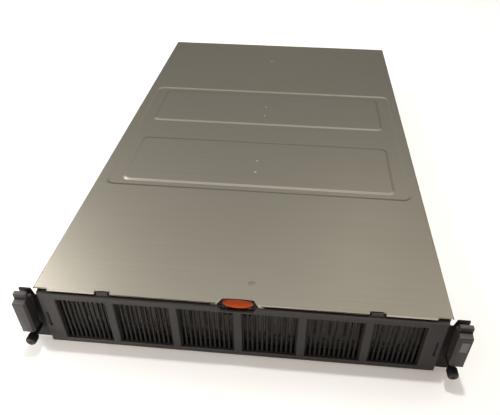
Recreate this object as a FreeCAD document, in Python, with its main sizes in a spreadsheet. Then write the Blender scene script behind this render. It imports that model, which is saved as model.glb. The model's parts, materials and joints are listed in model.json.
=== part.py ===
import FreeCAD, Part
import math
import os
import re
import Sketcher
from FreeCAD import Vector

# A two-unit rack storage appliance: folded steel case, slatted front bezel with a release button,
# rack ears with latch levers and thumb screws, drives, fans, board and two power supplies.
# Each piece is drawn with X across, Y to the back from the cover's front edge and Z up from the
# underside. Its placement then moves it so that the origin is in the middle of the underside.

SIZES = {
    # case and its sheet metal
    "case_width": 447,
    "case_depth": 737,
    "case_height": 87.4,
    "skin": 1.2,
    "cover_gap": 0.5,
    "cover_skirt": 15,
    "cover_bend": 3,
    "skirt_setback": 9,
    "hem_start": 22,
    "hem_depth": 8,
    "rear_lip": 2.6,
    # front edge of the cover: button notch, two small lips beside it, tab notches, cut corners
    "notch_mouth": 21,
    "notch_throat": 17,
    "notch_depth": 6.4,
    "lip_end": 28.8,
    "lip_bottom": 82.8,
    "tab_x": 146,
    "tab_notch": 8.6,
    "tab_notch_depth": 3.4,
    "corner_start": 206.5,
    "corner_cut": 2.5,
    # stamping in the cover: one shallow recess that holds two raised pads
    "stamp_depth": 1.6,
    "stamp_taper": 63,
    "recess_half": 209,
    "recess_front": 198,
    "recess_rear": 508,
    "recess_round": 12,
    "raised_half": 188.5,
    "raised_round": 10,
    "raised_fore_start": 210.5,
    "raised_fore_end": 328.5,
    "raised_aft_start": 384.5,
    "raised_aft_end": 495.5,
    # tray and the board's posts
    "tray_front": 14,
    "tray_end": 735,
    "tray_flange": 11,
    "tray_bend": 2.6,
    "post_radius": 3.4,
    "post_inset": 12,
    "post_front": 14,
    "post_rear": 30,
    "board_base": 8,
    "brace_y": 651,
    "brace_half": 9,
    "brace_low": 76,
    # rear panel with its vents, and the covers of its card slots
    "panel_face": 733,
    "panel_play": 0.4,
    "vent_left": -206,
    "vent_width": 4,
    "vent_low": 34,
    "vent_high": 78,
    "vent_pitch": 9,
    "card_first": 31,
    "card_rise": 18,
    "card_half": 58,
    "card_height": 12,
    "card_lap": 3,
    "card_edge": 2,
    "card_sheet": 0.8,
    "card_air_left": -52,
    "card_air_width": 28,
    "card_air_low": 3,
    "card_air_high": 9,
    "card_air_pitch": 38,
    # drive cage, carriers, drives and backplane
    "cage_front": 16,
    "cage_rear": 127,
    "cage_top": 84,
    "bay_pitch": 70,
    "carrier_pitch": 17,
    "carrier_width": 16.6,
    "carrier_front": 18,
    "carrier_plate": 6,
    "carrier_rail": 4.6,
    "carrier_play": 0.6,
    "grip_left": 5.5,
    "grip_right": 2.5,
    "grip_low": 24,
    "grip_high": 76,
    "grip_rise": 2.4,
    "eject_half": 4.5,
    "eject_low": 8,
    "eject_high": 18,
    "drive_width": 14.8,
    "drive_depth": 98,
    "backplane_sheet": 2.4,
    "air_inset": 8,
    "air_lower_start": 10,
    "air_lower_end": 22,
    "air_upper_start": 58,
    "air_upper_end": 76,
    "plug_inset": 12,
    "plug_low": 30,
    "plug_high": 48,
    # fans
    "fan_wall_face": 186,
    "fan_wall_foot": 14,
    "fan_pitch": 136,
    "fan_size": 80,
    "fan_depth": 38,
    "fan_bore": 38.2,
    "fan_height": 42.6,
    "fan_hub": 16,
    "fan_tip": 36.2,
    "hub_front": 5,
    "hub_rear": 31,
    "blade_rise": 8,
    "blade_sheet": 2,
    "frame_corner": 4,
    "spoke_depth": 4,
    "spoke_half": 2.4,
    "spoke_root": 0.8,
    "fan_shaft": 3,
    "shaft_start": 14,
    "shaft_room": 2,
    "shaft_play": 0.06,
    # mainboard and what stands on it
    "board_left": -214,
    "board_right": 124,
    "board_front": 262,
    "board_rear": 728,
    "board_sheet": 1.6,
    "cpu_pitch": 170,
    "cpu_first": -130,
    "cpu_y": 430,
    "cpu_side": 70,
    "cpu_height": 4,
    "sink_side": 84,
    "sink_base": 5,
    "sink_height": 58,
    "fin_pitch": 7.2,
    "fin_sheet": 1.2,
    "memory_before": 80,
    "memory_after": 50,
    "memory_length": 134,
    "memory_height": 31,
    "memory_sheet": 1.4,
    "memory_pitch": 10,
    "bank_half": 3,
    "bank_margin": 4,
    "bank_height": 6,
    "chip_height": 9,
    "chipset_y": 610,
    "chipset_half": 20,
    "controller_x": 72,
    "controller_y": 572,
    "controller_half": 12,
    "riser_left": -118,
    "riser_right": -30,
    "riser_y": 652,
    "riser_pitch": 24,
    "riser_width": 6,
    "coil_first": -34,
    "coil_y": 46,
    "coil_side": 8,
    "coil_height": 7,
    "coil_pitch": 12,
    # network sockets
    "jack_left": -200,
    "jack_pitch": 16,
    "jack_height": 14,
    "jack_depth": 18,
    "jack_wall": 2,
    "jack_floor": 3,
    "jack_back": 5,
    "jack_mouth": 9.4,
    "jack_key_side": 3,
    "jack_key_rise": 2,
    # power supplies and their bay
    "bay_wall": 128.4,
    "bay_front": 480,
    "shelf_play": 0.4,
    "supply_left": 132,
    "supply_width": 86,
    "supply_height": 39.4,
    "supply_front": 538,
    "supply_rear": 736,
    "supply_base": 1.2,
    "supply_rise": 41,
    "supply_play": 0.6,
    "grid_start": 37,
    "grid_slot": 3,
    "grid_low": 6,
    "grid_high": 33.4,
    "grid_pitch": 5,
    "inlet_inset": 8,
    "inlet_low": 9,
    "inlet_width": 30,
    "inlet_height": 22,
    "inlet_depth": 20,
    "inlet_rim": 0.8,
    "well_side": 3,
    "well_edge": 2.6,
    "well_corner": 4.4,
    "well_depth": 16,
    "prong_half": 1,
    "prong_height": 4,
    "prong_length": 10,
    "prong_offset": 7,
    "prong_level": 7,
    "earth_level": 11,
    "strap_left": 32,
    "strap_right": 66,
    "strap_low": 12,
    "strap_height": 15.4,
    "strap_reach": 23,
    "strap_sheet": 3.4,
    "strap_corner": 5,
    "strap_inner": 3,
    "latch_inset": 7,
    "latch_reach": 4.5,
    "latch_low": 10.3,
    "latch_high": 29.1,
    "lug_half": 3,
    "lug_low": 16,
    "lug_high": 23,
    "throat_depth": 4.4,
    "throat_play": 0.3,
    # bezel and grilles
    "bezel_half": 219.5,
    "bezel_front": -2,
    "bezel_plate": 3,
    "bezel_wall": 2.2,
    "bezel_bottom": 1.5,
    "bezel_step": 82.3,
    "bezel_top": 84.2,
    "bezel_rear": 16,
    "bezel_edge": 1.2,
    "band_front": 6,
    "tab_half": 6.2,
    "tab_front": 0.6,
    "tab_back": 2.8,
    "tab_top": 86.6,
    "window_pitch": 70,
    "window_bar": 9,
    "window_edge": 200,
    "window_bottom": 8.2,
    "window_top": 72.9,
    "rib_half": 1.8,
    "rib_depth": 7,
    "slit_inset": 6,
    "slit_half": 1,
    "slit_low": 29,
    "slit_high": 52,
    "slit_floor": 0.6,
    "slit_bevel": 1.6,
    "pouch_bottom": 76.4,
    "pouch_shoulder": 81.5,
    "pouch_gap": 1.5,
    "pouch_flare": 5.5,
    "shelf_half": 15,
    "shelf_front": 4.4,
    "shelf_sheet": 2,
    "shelf_top": 64,
    "grille_sheet": 3,
    "grille_lap": 2,
    "slot_pitch": 5.4,
    "slot_width": 3,
    "slot_margin": 1,
    # release button and its leaf spring
    "button_half": 15.4,
    "button_front": -0.3,
    "button_face": 1.4,
    "button_rear": 5.4,
    "button_foot": 77.6,
    "button_chin": 79,
    "button_lip": 81.8,
    "button_neck": 84,
    "button_crest": 86.9,
    "button_scoop": 1.2,
    "button_corner": 3.6,
    "button_trim": 0.1,
    "stem_front": 4.6,
    "stem_rear": 8,
    "stem_bottom": 70,
    "leaf_half": 13,
    "leaf_foot": 2,
    "leaf_sheet": 0.6,
    "leaf_front": 5,
    "leaf_width": 2.6,
    # rack ears: bracket
    "ear_span": 482.6,
    "rack_spacing": 465.1,
    "screw_height": 21.5,
    "screw_play": 0.3,
    "flange_front": 4,
    "flange_sheet": 2,
    "ear_play": 0.3,
    "ear_reach": 74,
    "ear_low": 2,
    "ear_side_low": 4,
    "ear_high": 72,
    "horn_inner": 226.2,
    "horn_slope": 2.4,
    "horn_top": 81.5,
    "tongue_inner": 233.5,
    "tongue_outer": 236,
    "tongue_front": -9,
    "tongue_low": 35.5,
    "tongue_high": 43,
    "gate_inner": 231,
    "gate_outer": 238.6,
    "gate_low": 49,
    # rack ears: latch lever, its pin and the plain rectangle on it
    "lever_inner": 227,
    "lever_front": -15,
    "lever_back": 1.5,
    "lever_bottom": 31,
    "lever_nose": 76.5,
    "lever_top": 85.3,
    "lever_wall": 2.2,
    "lever_bevel": 2.4,
    "lever_shoulder": 76.8,
    "tread_back": -8.2,
    "tread_rise": 1.5,
    "crest_back": -3.4,
    "crest_rise": 0.5,
    "heel_back": -0.5,
    "heel_low": 40,
    "heel_high": 46,
    "hook_inner": 233,
    "hook_sheet": 3.6,
    "hook_low": 57,
    "hook_high": 63,
    "hook_face": 9,
    "hook_end": 12,
    "hook_tip": 52,
    "pivot_y": -5,
    "pivot_z": 38,
    "pivot_radius": 1.5,
    "pivot_play": 0.08,
    "pin_inset": 0.4,
    "label_inner": 231.4,
    "label_outer": 239,
    "label_low": 55.8,
    "label_high": 71,
    "label_sheet": 0.4,
    # rack ears: thumb screw
    "knob_radius": 6,
    "knob_front": -22,
    "knob_back": -11,
    "knob_groove": 0.6,
    "collar_radius": 3.6,
    "neck_radius": 2.1,
    "neck_end": 6.5,
    "stud_radius": 2.5,
    "stud_end": 18,
}

BAYS = 6
CARRIERS_PER_BAY = 4
REAR_VENTS = 14
CARD_SLOTS = 3
CARD_HOLES = 3
FANS = 3
FAN_BLADES = 5
DUCT_CORNERS = 32
HUB_CORNERS = 20
SMALL_ROUND_CORNERS = 12
POST_CORNERS = 6
PROCESSORS = 2
MODULES_PER_BANK = 4
COILS = 6
JACKS = 4
SUPPLIES = 2
SUPPLY_SLOTS = 5
KNOB_FLUTES = 8

# Outline of a supply's latch in plan, as offsets in millimetres from its pin
LATCH_OUTLINE = ((-2.4, -2.4), (2.4, -2.4), (1.6, 12), (5, 14.4), (4, 16), (-1.2, 13))
LATCH_SIDE = 6

# Limits for comparing directions, places and volumes
PARALLEL = 1e-6
NEAR = 1e-3

doc = FreeCAD.newDocument("StorageAppliance")
dims = doc.addObject("Spreadsheet::Sheet", "Dims")
for row_number, (alias, value) in enumerate(SIZES.items(), 1):
    dims.set(f"A{row_number}", alias)
    dims.set(f"B{row_number}", str(value))
    dims.setAlias(f"B{row_number}", alias)
doc.recompute()

sub_parts = []

# Sizes that several pieces share, as texts of sheet names
TRAY_HALF = "(case_width / 2 - skin - cover_gap)"
TRAY_INNER = "(case_width / 2 - 2 * skin - cover_gap)"
TRAY_TOP = "(case_height - skin)"
BOARD_TOP = "(board_base + board_sheet)"
FAN_FACE = "(fan_wall_face + skin)"
SUPPLY_RIGHT = "(supply_left + supply_width)"
PLATE_BACK = "(bezel_front + bezel_plate)"
EAR_TIP = "(ear_span / 2)"


def bound(text):
    """A size text in the form that other objects of the document read."""
    def sheet_name(word):
        return "Dims." + word[0] if word[0] in SIZES else word[0]

    return re.sub(r"[a-z_]+", sheet_name, str(text))


def size(text):
    """The value of a size text."""
    return float(dims.evalExpression(str(text)))


def bind(item, **sizes):
    for name, text in sizes.items():
        item.setExpression(name, bound(text))


def place(item, x="0", y="0", z="0"):
    """Bind a placement, given from the cover's front edge at the underside."""
    item.setExpression("Placement.Base.x", bound(x))
    item.setExpression("Placement.Base.y", bound(f"{y} - case_depth / 2"))
    item.setExpression("Placement.Base.z", bound(z))


def sub_part(item, label, **where):
    """Enter a finished object as a sub-part of the appliance."""
    item.Label = label
    place(item, **where)
    sub_parts.append(item)
    return item


# Primitives and booleans

def block(name, x, y, z):
    """A box between two bounds on each axis."""
    item = doc.addObject("Part::Box", name)
    for length, axis, (start, end) in zip(("Length", "Width", "Height"), "xyz", (x, y, z)):
        item.setExpression(length, bound(f"({end}) - ({start})"))
        item.setExpression(f"Placement.Base.{axis}", bound(start))
    return item


TURNS = {
    "x": FreeCAD.Rotation(Vector(0, 1, 0), 90),
    "y": FreeCAD.Rotation(Vector(1, 0, 0), -90),
    "z": FreeCAD.Rotation(),
}


def rod(name, axis, radius, length, x, y, z):
    """A cylinder that runs from a point along one axis."""
    item = doc.addObject("Part::Cylinder", name)
    item.Placement = FreeCAD.Placement(Vector(), TURNS[axis])
    bind(item, Radius=radius, Height=length)
    for letter, text in zip("xyz", (x, y, z)):
        item.setExpression(f"Placement.Base.{letter}", bound(text))
    return item


def fuse(name, pieces):
    item = doc.addObject("Part::MultiFuse", name)
    item.Shapes = pieces
    return item


def cut(name, base, tools):
    item = doc.addObject("Part::Cut", name)
    item.Base = base
    item.Tool = tools[0] if len(tools) == 1 else fuse(name + "_tools", tools)
    return item


def group(name, pieces):
    item = doc.addObject("Part::Compound", name)
    item.Links = pieces
    return item


def mirror_image(label, source):
    """The left-hand twin of a right-hand sub-part."""
    item = doc.addObject("Part::Mirroring", label)
    item.Source = source
    item.Normal = Vector(1, 0, 0)
    item.Label = label
    sub_parts.append(item)
    return item


# Bodies, sketches and features

def new_body(label, **where):
    return sub_part(doc.addObject("PartDesign::Body", label), label, **where)


def origin_feature(body, role):
    return next(feature for feature in body.Origin.OriginFeatures if feature.Role == role)


def new_sketch(body, plane, level="0"):
    """A sketch on one of the body's origin planes, moved along that plane's axis to a level."""
    sketch = body.newObject("Sketcher::SketchObject", body.Name + "_sketch")
    sketch.AttachmentSupport = (origin_feature(body, plane + "_Plane"), [""])
    sketch.MapMode = "FlatFace"
    sign = "-" if plane == "XZ" else ""
    sketch.setExpression("AttachmentOffset.Base.z", bound(f"{sign}({level})"))
    return sketch


def fix_point(sketch, geometry, point, across, up):
    """Hold one point of a sketch at two bound distances from the sketch's origin."""
    for kind, text in (("DistanceX", across), ("DistanceY", up)):
        index = sketch.addConstraint(Sketcher.Constraint(kind, -1, 1, geometry, point, size(text)))
        sketch.setExpression(f"Constraints[{index}]", bound(text))


def polygon(sketch, corners):
    first = sketch.GeometryCount
    points = [Vector(size(across), size(up), 0) for across, up in corners]
    for start, end in zip(points, points[1:] + points[:1]):
        sketch.addGeometry(Part.LineSegment(start, end))
    for index in range(len(corners)):
        following = first + (index + 1) % len(corners)
        sketch.addConstraint(Sketcher.Constraint("Coincident", first + index, 2, following, 1))
    for index, (across, up) in enumerate(corners):
        fix_point(sketch, first + index, 1, across, up)


def rectangle(sketch, across, up):
    (left, right), (low, high) = across, up
    polygon(sketch, [(left, low), (right, low), (right, high), (left, high)])


def star(sketch, across, up, radii):
    """A closed outline with corners at even angles, each at its own distance from the centre."""
    corners = []
    for index, radius in enumerate(radii):
        turn = math.tau * index / len(radii)
        x = f"{across} + {radius} * ({math.cos(turn):.6f})"
        y = f"{up} + {radius} * ({math.sin(turn):.6f})"
        corners.append((x, y))
    polygon(sketch, corners)


def circle(sketch, across, up, radius):
    centre = Vector(size(across), size(up), 0)
    index = sketch.addGeometry(Part.Circle(centre, Vector(0, 0, 1), size(radius)))
    fix_point(sketch, index, 3, across, up)
    constraint = sketch.addConstraint(Sketcher.Constraint("Radius", index, size(radius)))
    sketch.setExpression(f"Constraints[{constraint}]", bound(radius))


def rounded_rectangle(sketch, across, up, radius):
    """A rectangle with four equal round corners."""
    (left, right), (low, high) = across, up
    centres = [
        (f"{right} - {radius}", f"{low} + {radius}", -90),
        (f"{right} - {radius}", f"{high} - {radius}", 0),
        (f"{left} + {radius}", f"{high} - {radius}", 90),
        (f"{left} + {radius}", f"{low} + {radius}", 180),
    ]
    arcs = []
    for x, y, turn in centres:
        ring = Part.Circle(Vector(size(x), size(y), 0), Vector(0, 0, 1), size(radius))
        arc = Part.ArcOfCircle(ring, math.radians(turn), math.radians(turn + 90))
        arcs.append(sketch.addGeometry(arc))
    for index, arc in enumerate(arcs):
        following = arcs[(index + 1) % 4]
        start = sketch.Geometry[arc].EndPoint
        line = sketch.addGeometry(Part.LineSegment(start, sketch.Geometry[following].StartPoint))
        sketch.addConstraint(Sketcher.Constraint("Tangent", arc, 2, line, 1))
        sketch.addConstraint(Sketcher.Constraint("Tangent", line, 2, following, 1))
    for arc, (x, y, turn) in zip(arcs, centres):
        fix_point(sketch, arc, 3, x, y)
    for arc in arcs[1:]:
        sketch.addConstraint(Sketcher.Constraint("Equal", arcs[0], arc))
    constraint = sketch.addConstraint(Sketcher.Constraint("Radius", arcs[0], size(radius)))
    sketch.setExpression(f"Constraints[{constraint}]", bound(radius))


def pad(body, sketch, length, backward=False, taper=None):
    """Add material along the sketch's normal, or against it; a taper narrows it."""
    feature = body.newObject("PartDesign::Pad", body.Name + "_pad")
    feature.Profile = sketch
    feature.Reversed = backward
    bind(feature, Length=length)
    if taper:
        bind(feature, TaperAngle=f"-{taper}")
    return feature


def pocket(body, sketch, length=None, forward=False, taper=None):
    """Cut against the sketch's normal, or along it; with no length it cuts through."""
    doc.recompute()
    volume = body.Shape.Volume
    feature = body.newObject("PartDesign::Pocket", body.Name + "_pocket")
    feature.Profile = sketch
    feature.Reversed = forward
    if length:
        bind(feature, Length=length)
    else:
        feature.Type = "ThroughAll"
    if taper:
        bind(feature, TaperAngle=f"-{taper}")
    doc.recompute()
    if body.Shape.Volume > volume - NEAR:
        raise RuntimeError(f"{feature.Label} cuts nothing")
    return feature


def row(body, originals, axis, pitch, count):
    """Repeat features in a straight row."""
    feature = body.newObject("PartDesign::LinearPattern", body.Name + "_row")
    feature.Originals = originals
    feature.Direction = (origin_feature(body, axis + "_Axis"), [""])
    feature.Mode = "Spacing"
    bind(feature, Offset=pitch)
    feature.Occurrences = count
    body.Tip = feature
    return feature


def ring(body, originals, count):
    """Repeat features round the body's own Y axis."""
    feature = body.newObject("PartDesign::PolarPattern", body.Name + "_ring")
    feature.Originals = originals
    feature.Axis = (origin_feature(body, "Y_Axis"), [""])
    feature.Angle = 360
    feature.Occurrences = count
    body.Tip = feature
    return feature


def edges_at(body, axis, **where):
    """Names of the straight edges along an axis whose middle has the given coordinates."""
    doc.recompute()
    direction = {"x": Vector(1, 0, 0), "y": Vector(0, 1, 0), "z": Vector(0, 0, 1)}[axis]
    names = []
    for index, edge in enumerate(body.Tip.Shape.Edges, 1):
        if not isinstance(edge.Curve, Part.Line):
            continue
        if edge.Curve.Direction.cross(direction).Length > PARALLEL:
            continue
        middle = edge.CenterOfMass
        misses = [min(abs(getattr(middle, key) - value) for value in values) for key, values in where.items()]
        if max(misses) < NEAR:
            names.append(f"Edge{index}")
    return names


def soften(body, kind, amount, names):
    """Fillet or chamfer named edges of the body as it stands."""
    base = body.Tip
    feature = body.newObject("PartDesign::" + kind, body.Name + "_" + kind.lower())
    feature.Base = (base, names)
    if kind == "Fillet":
        bind(feature, Radius=amount)
    else:
        bind(feature, Size=amount)
    return feature


# Case: tray, cover, rear panel

def chassis_tray():
    body = new_body("chassis_tray")
    profile = new_sketch(body, "XZ", "tray_front")
    lip = f"({TRAY_HALF} - tray_flange)"
    right = [
        (TRAY_HALF, "0"),
        (TRAY_HALF, TRAY_TOP),
        (lip, TRAY_TOP),
        (lip, f"{TRAY_TOP} - skin"),
        (TRAY_INNER, f"{TRAY_TOP} - skin"),
        (TRAY_INNER, "skin"),
    ]
    left = [(f"-{across}", up) for across, up in reversed(right)]
    polygon(profile, right + left)
    pad(body, profile, "tray_end - tray_front", backward=True)
    half = size(TRAY_HALF)
    soften(body, "Fillet", "tray_bend", edges_at(body, "y", x=(half, -half), z=(0, size(TRAY_TOP))))


def board_posts():
    """Hexagonal posts that carry the mainboard above the tray's floor."""
    body = new_body("board_posts")
    posts = new_sketch(body, "XY", "skin")
    for x in ("board_left + post_inset", "(board_left + board_right) / 2", "board_right - post_inset"):
        for y in ("board_front + post_front", "(board_front + board_rear) / 2", "board_rear - post_rear"):
            star(posts, x, y, POST_CORNERS * ["post_radius"])
    pad(body, posts, "board_base - skin")


def top_cover():
    body = new_body("top_cover")
    half = "case_width / 2"
    under = "(case_height - skin)"
    sheet = new_sketch(body, "XY", under)
    mouth = [("-notch_mouth", "0"), ("-notch_throat", "notch_depth")]
    mouth += [("notch_throat", "notch_depth"), ("notch_mouth", "0")]
    outline = [(half, "0"), (half, "case_depth"), (f"-{half}", "case_depth"), (f"-{half}", "0")]
    polygon(sheet, mouth + outline)
    pad(body, sheet, "skin")
    skirt = new_sketch(body, "XY", "case_height - cover_skirt")
    for inner, outer in ((f"{half} - skin", half), (f"-{half}", f"-{half} + skin")):
        rectangle(skirt, (inner, outer), ("0", "case_depth"))
    pad(body, skirt, "cover_skirt - skin")
    edge = size(half)
    soften(body, "Fillet", "cover_bend", edges_at(body, "y", x=(edge, -edge), z=(size("case_height"),)))
    edge -= size("skin")
    soften(body, "Fillet", "cover_bend - skin", edges_at(body, "y", x=(edge, -edge), z=(size(under),)))
    lip = new_sketch(body, "XY", "case_height - rear_lip")
    rectangle(lip, (f"-{half} + cover_bend", f"{half} - cover_bend"), ("case_depth - skin", "case_depth"))
    pad(body, lip, "rear_lip - skin")
    hem = new_sketch(body, "XY", "case_height - 2 * skin")
    rectangle(hem, ("hem_start", f"{half} - cover_bend"), ("0", "hem_depth"))
    rectangle(hem, (f"-{half} + cover_bend", "-hem_start"), ("0", "hem_depth"))
    pad(body, hem, "skin")
    front_edge(body, half)
    stamping(body, under)


def front_edge(body, half):
    """Lips beside the button, notches for the bezel's tabs, corners and skirts set back."""
    lips = new_sketch(body, "XY", "lip_bottom")
    rectangle(lips, ("hem_start", "lip_end"), ("0", "skin"))
    rectangle(lips, ("-lip_end", "-hem_start"), ("0", "skin"))
    pad(body, lips, "case_height - 2 * skin - lip_bottom")
    notches = new_sketch(body, "XY", "case_height")
    for middle in ("tab_x", "-tab_x"):
        rectangle(notches, (f"{middle} - tab_notch", f"{middle} + tab_notch"), ("-skin", "tab_notch_depth"))
    rectangle(notches, ("corner_start", f"{half} + skin"), ("-skin", "corner_cut"))
    rectangle(notches, (f"-{half} - skin", "-corner_start"), ("-skin", "corner_cut"))
    pocket(body, notches)
    setback = new_sketch(body, "XZ")
    height = ("case_height - 2 * cover_skirt", "case_height - cover_bend")
    rectangle(setback, (f"{half} - 2 * skin", f"{half} + skin"), height)
    rectangle(setback, (f"-{half} - skin", f"-{half} + 2 * skin"), height)
    pocket(body, setback, "skirt_setback")


def stamping(body, under):
    """The shallow recess in the cover and the two raised pads in it, pressed through the sheet."""
    recess = (("-recess_half", "recess_half"), ("recess_front", "recess_rear"), "recess_round")
    raised = [
        (("-raised_half", "raised_half"), (f"raised_{name}_start", f"raised_{name}_end"), "raised_round")
        for name in ("fore", "aft")
    ]
    bulge = new_sketch(body, "XY", under)
    rounded_rectangle(bulge, *recess)
    pad(body, bulge, "stamp_depth", backward=True, taper="stamp_taper")
    basin = new_sketch(body, "XY", "case_height")
    rounded_rectangle(basin, *recess)
    pocket(body, basin, "stamp_depth", taper="stamp_taper")
    for bounds in raised:
        top = new_sketch(body, "XY", "case_height - stamp_depth")
        rounded_rectangle(top, *bounds)
        pad(body, top, "stamp_depth", taper="stamp_taper")
        hollow = new_sketch(body, "XY", f"{under} - stamp_depth")
        rounded_rectangle(hollow, *bounds)
        pocket(body, hollow, "stamp_depth", forward=True, taper="stamp_taper")


CARD_LEVELS = [f"(card_first + {slot} * card_rise)" for slot in range(CARD_SLOTS)]


def rear_panel():
    body = new_body("rear_panel")
    face = new_sketch(body, "XZ", "panel_face")
    rectangle(face, (f"-{TRAY_INNER}", TRAY_INNER), ("skin", f"{TRAY_TOP} - skin"))
    pad(body, face, "skin", backward=True)
    openings = new_sketch(body, "XZ", "panel_face")
    supplies_top = "supply_base + supply_rise + supply_height + supply_play"
    rectangle(openings, ("supply_left - supply_play", f"{SUPPLY_RIGHT} + supply_play"), ("0", supplies_top))
    jacks_right = f"jack_left + {JACKS} * jack_pitch + panel_play"
    jacks_top = f"{BOARD_TOP} + jack_height + panel_play"
    rectangle(openings, ("jack_left - panel_play", jacks_right), (BOARD_TOP, jacks_top))
    for level in CARD_LEVELS:
        rectangle(openings, ("-card_half", "card_half"), (level, f"{level} + card_height"))
    pocket(body, openings)
    vent = new_sketch(body, "XZ", "panel_face")
    rectangle(vent, ("vent_left", "vent_left + vent_width"), ("vent_low", "vent_high"))
    row(body, [pocket(body, vent)], "X", "vent_pitch", REAR_VENTS)


def slot_covers():
    body = new_body("slot_covers")
    face = new_sketch(body, "XZ", "panel_face + skin")
    vent = new_sketch(body, "XZ", "panel_face + skin")
    for level in CARD_LEVELS:
        height = (f"{level} - card_edge", f"{level} + card_height + card_edge")
        rectangle(face, ("-card_half - card_lap", "card_half + card_lap"), height)
        height = (f"{level} + card_air_low", f"{level} + card_air_high")
        rectangle(vent, ("card_air_left", "card_air_left + card_air_width"), height)
    pad(body, face, "card_sheet", backward=True)
    row(body, [pocket(body, vent)], "X", "card_air_pitch", CARD_HOLES)


def cross_brace():
    """A folded strip from wall to wall under the cover."""
    body = new_body("cross_brace")
    top = f"({TRAY_TOP} - skin)"
    strip = new_sketch(body, "XY", f"{top} - skin")
    rectangle(strip, (f"-{TRAY_INNER}", TRAY_INNER), ("brace_y - brace_half", "brace_y + brace_half"))
    pad(body, strip, "skin")
    rim = new_sketch(body, "XZ", "brace_y + brace_half - skin")
    rectangle(rim, (f"-{TRAY_INNER}", "bay_wall - skin"), ("brace_low", f"{top} - skin"))
    pad(body, rim, "skin", backward=True)


# Front storage: cage, carriers, drives, backplane

CAGE_HALF = f"({BAYS} * bay_pitch / 2 + skin / 2)"
BAY_FLOOR = "(2 * skin)"
BAY_ROOF = "(cage_top - skin)"
CARRIER_TOP = f"({BAY_ROOF} - carrier_play)"
CARRIER_BACK = "(carrier_front + carrier_plate)"


def drive_cage():
    body = new_body("drive_cage")
    cells = new_sketch(body, "XZ", "cage_front")
    rectangle(cells, (f"-{CAGE_HALF}", CAGE_HALF), ("skin", "cage_top"))
    for bay in range(BAYS):
        left = f"({bay} - {BAYS} / 2) * bay_pitch"
        rectangle(cells, (f"{left} + skin / 2", f"{left} + bay_pitch - skin / 2"), (BAY_FLOOR, BAY_ROOF))
    pad(body, cells, "cage_rear - cage_front", backward=True)
    wings = new_sketch(body, "XZ", "cage_front")
    for inner, outer in ((CAGE_HALF, TRAY_INNER), (f"-{TRAY_INNER}", f"-{CAGE_HALF}")):
        rectangle(wings, (inner, outer), ("skin", "cage_top"))
    pad(body, wings, "skin", backward=True)


def bay_left(bay):
    """Left side of the first carrier of a bay."""
    spare = f"(bay_pitch - {CARRIERS_PER_BAY} * carrier_pitch + carrier_pitch - carrier_width) / 2"
    return f"({bay} - {BAYS} / 2) * bay_pitch + {spare}"


def drive_carriers(bay):
    """Four upright carriers: front plate with handle and button, and two rails."""
    body = new_body(f"drive_carriers_{bay + 1}")
    left = bay_left(bay)
    right = f"{left} + carrier_width"
    middle = f"{left} + carrier_width / 2"
    plate = new_sketch(body, "XZ", "carrier_front")
    rectangle(plate, (left, right), (BAY_FLOOR, CARRIER_TOP))
    features = [pad(body, plate, "carrier_plate", backward=True)]
    rails = new_sketch(body, "XZ", CARRIER_BACK)
    rectangle(rails, (left, right), (BAY_FLOOR, f"{BAY_FLOOR} + carrier_rail"))
    rectangle(rails, (left, right), (f"{CARRIER_TOP} - carrier_rail", CARRIER_TOP))
    features.append(pad(body, rails, "drive_depth", backward=True))
    grip = new_sketch(body, "XZ", "carrier_front")
    rectangle(grip, (f"{middle} - grip_left", f"{middle} + grip_right"), ("grip_low", "grip_high"))
    rectangle(grip, (f"{middle} - eject_half", f"{middle} + eject_half"), ("eject_low", "eject_high"))
    features.append(pad(body, grip, "grip_rise"))
    row(body, features, "X", "carrier_pitch", CARRIERS_PER_BAY)


def hard_drives():
    body = new_body("hard_drives")
    start = new_sketch(body, "XZ", CARRIER_BACK)
    height = (f"{BAY_FLOOR} + carrier_rail", f"{CARRIER_TOP} - carrier_rail")
    for bay in range(BAYS):
        left = f"{bay_left(bay)} + (carrier_width - drive_width) / 2"
        rectangle(start, (left, f"{left} + drive_width"), height)
    solid = pad(body, start, "drive_depth", backward=True)
    row(body, [solid], "X", "carrier_pitch", CARRIERS_PER_BAY)


def backplane():
    body = new_body("backplane")
    board = new_sketch(body, "XZ", "cage_rear")
    rectangle(board, (f"-{CAGE_HALF}", CAGE_HALF), ("skin", "cage_top"))
    pad(body, board, "backplane_sheet", backward=True)
    air = new_sketch(body, "XZ", "cage_rear")
    first = f"-{BAYS} / 2 * bay_pitch"
    for level in ("lower", "upper"):
        height = (f"air_{level}_start", f"air_{level}_end")
        rectangle(air, (f"{first} + air_inset", f"{first} + bay_pitch - air_inset"), height)
    row(body, [pocket(body, air)], "X", "bay_pitch", BAYS)
    plug = new_sketch(body, "XZ", "cage_rear")
    rectangle(plug, (f"{first} + plug_inset", f"{first} + bay_pitch - plug_inset"), ("plug_low", "plug_high"))
    socket = pad(body, plug, f"cage_rear - {CARRIER_BACK} - drive_depth")
    row(body, [socket], "X", "bay_pitch", BAYS)


# Cooling

def fan_x(fan):
    return f"({fan} - ({FANS} - 1) / 2) * fan_pitch"


def fan_wall():
    body = new_body("fan_wall")
    face = new_sketch(body, "XZ", "fan_wall_face")
    rectangle(face, (f"-{TRAY_INNER}", TRAY_INNER), ("skin", "cage_top"))
    for fan in range(FANS):
        star(face, fan_x(fan), "fan_height", SMALL_ROUND_CORNERS * ["fan_bore"])
    pad(body, face, "skin", backward=True)
    foot = new_sketch(body, "XY", "skin")
    rectangle(foot, (f"-{TRAY_INNER}", TRAY_INNER), ("fan_wall_face - fan_wall_foot", "fan_wall_face"))
    pad(body, foot, "skin")


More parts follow.
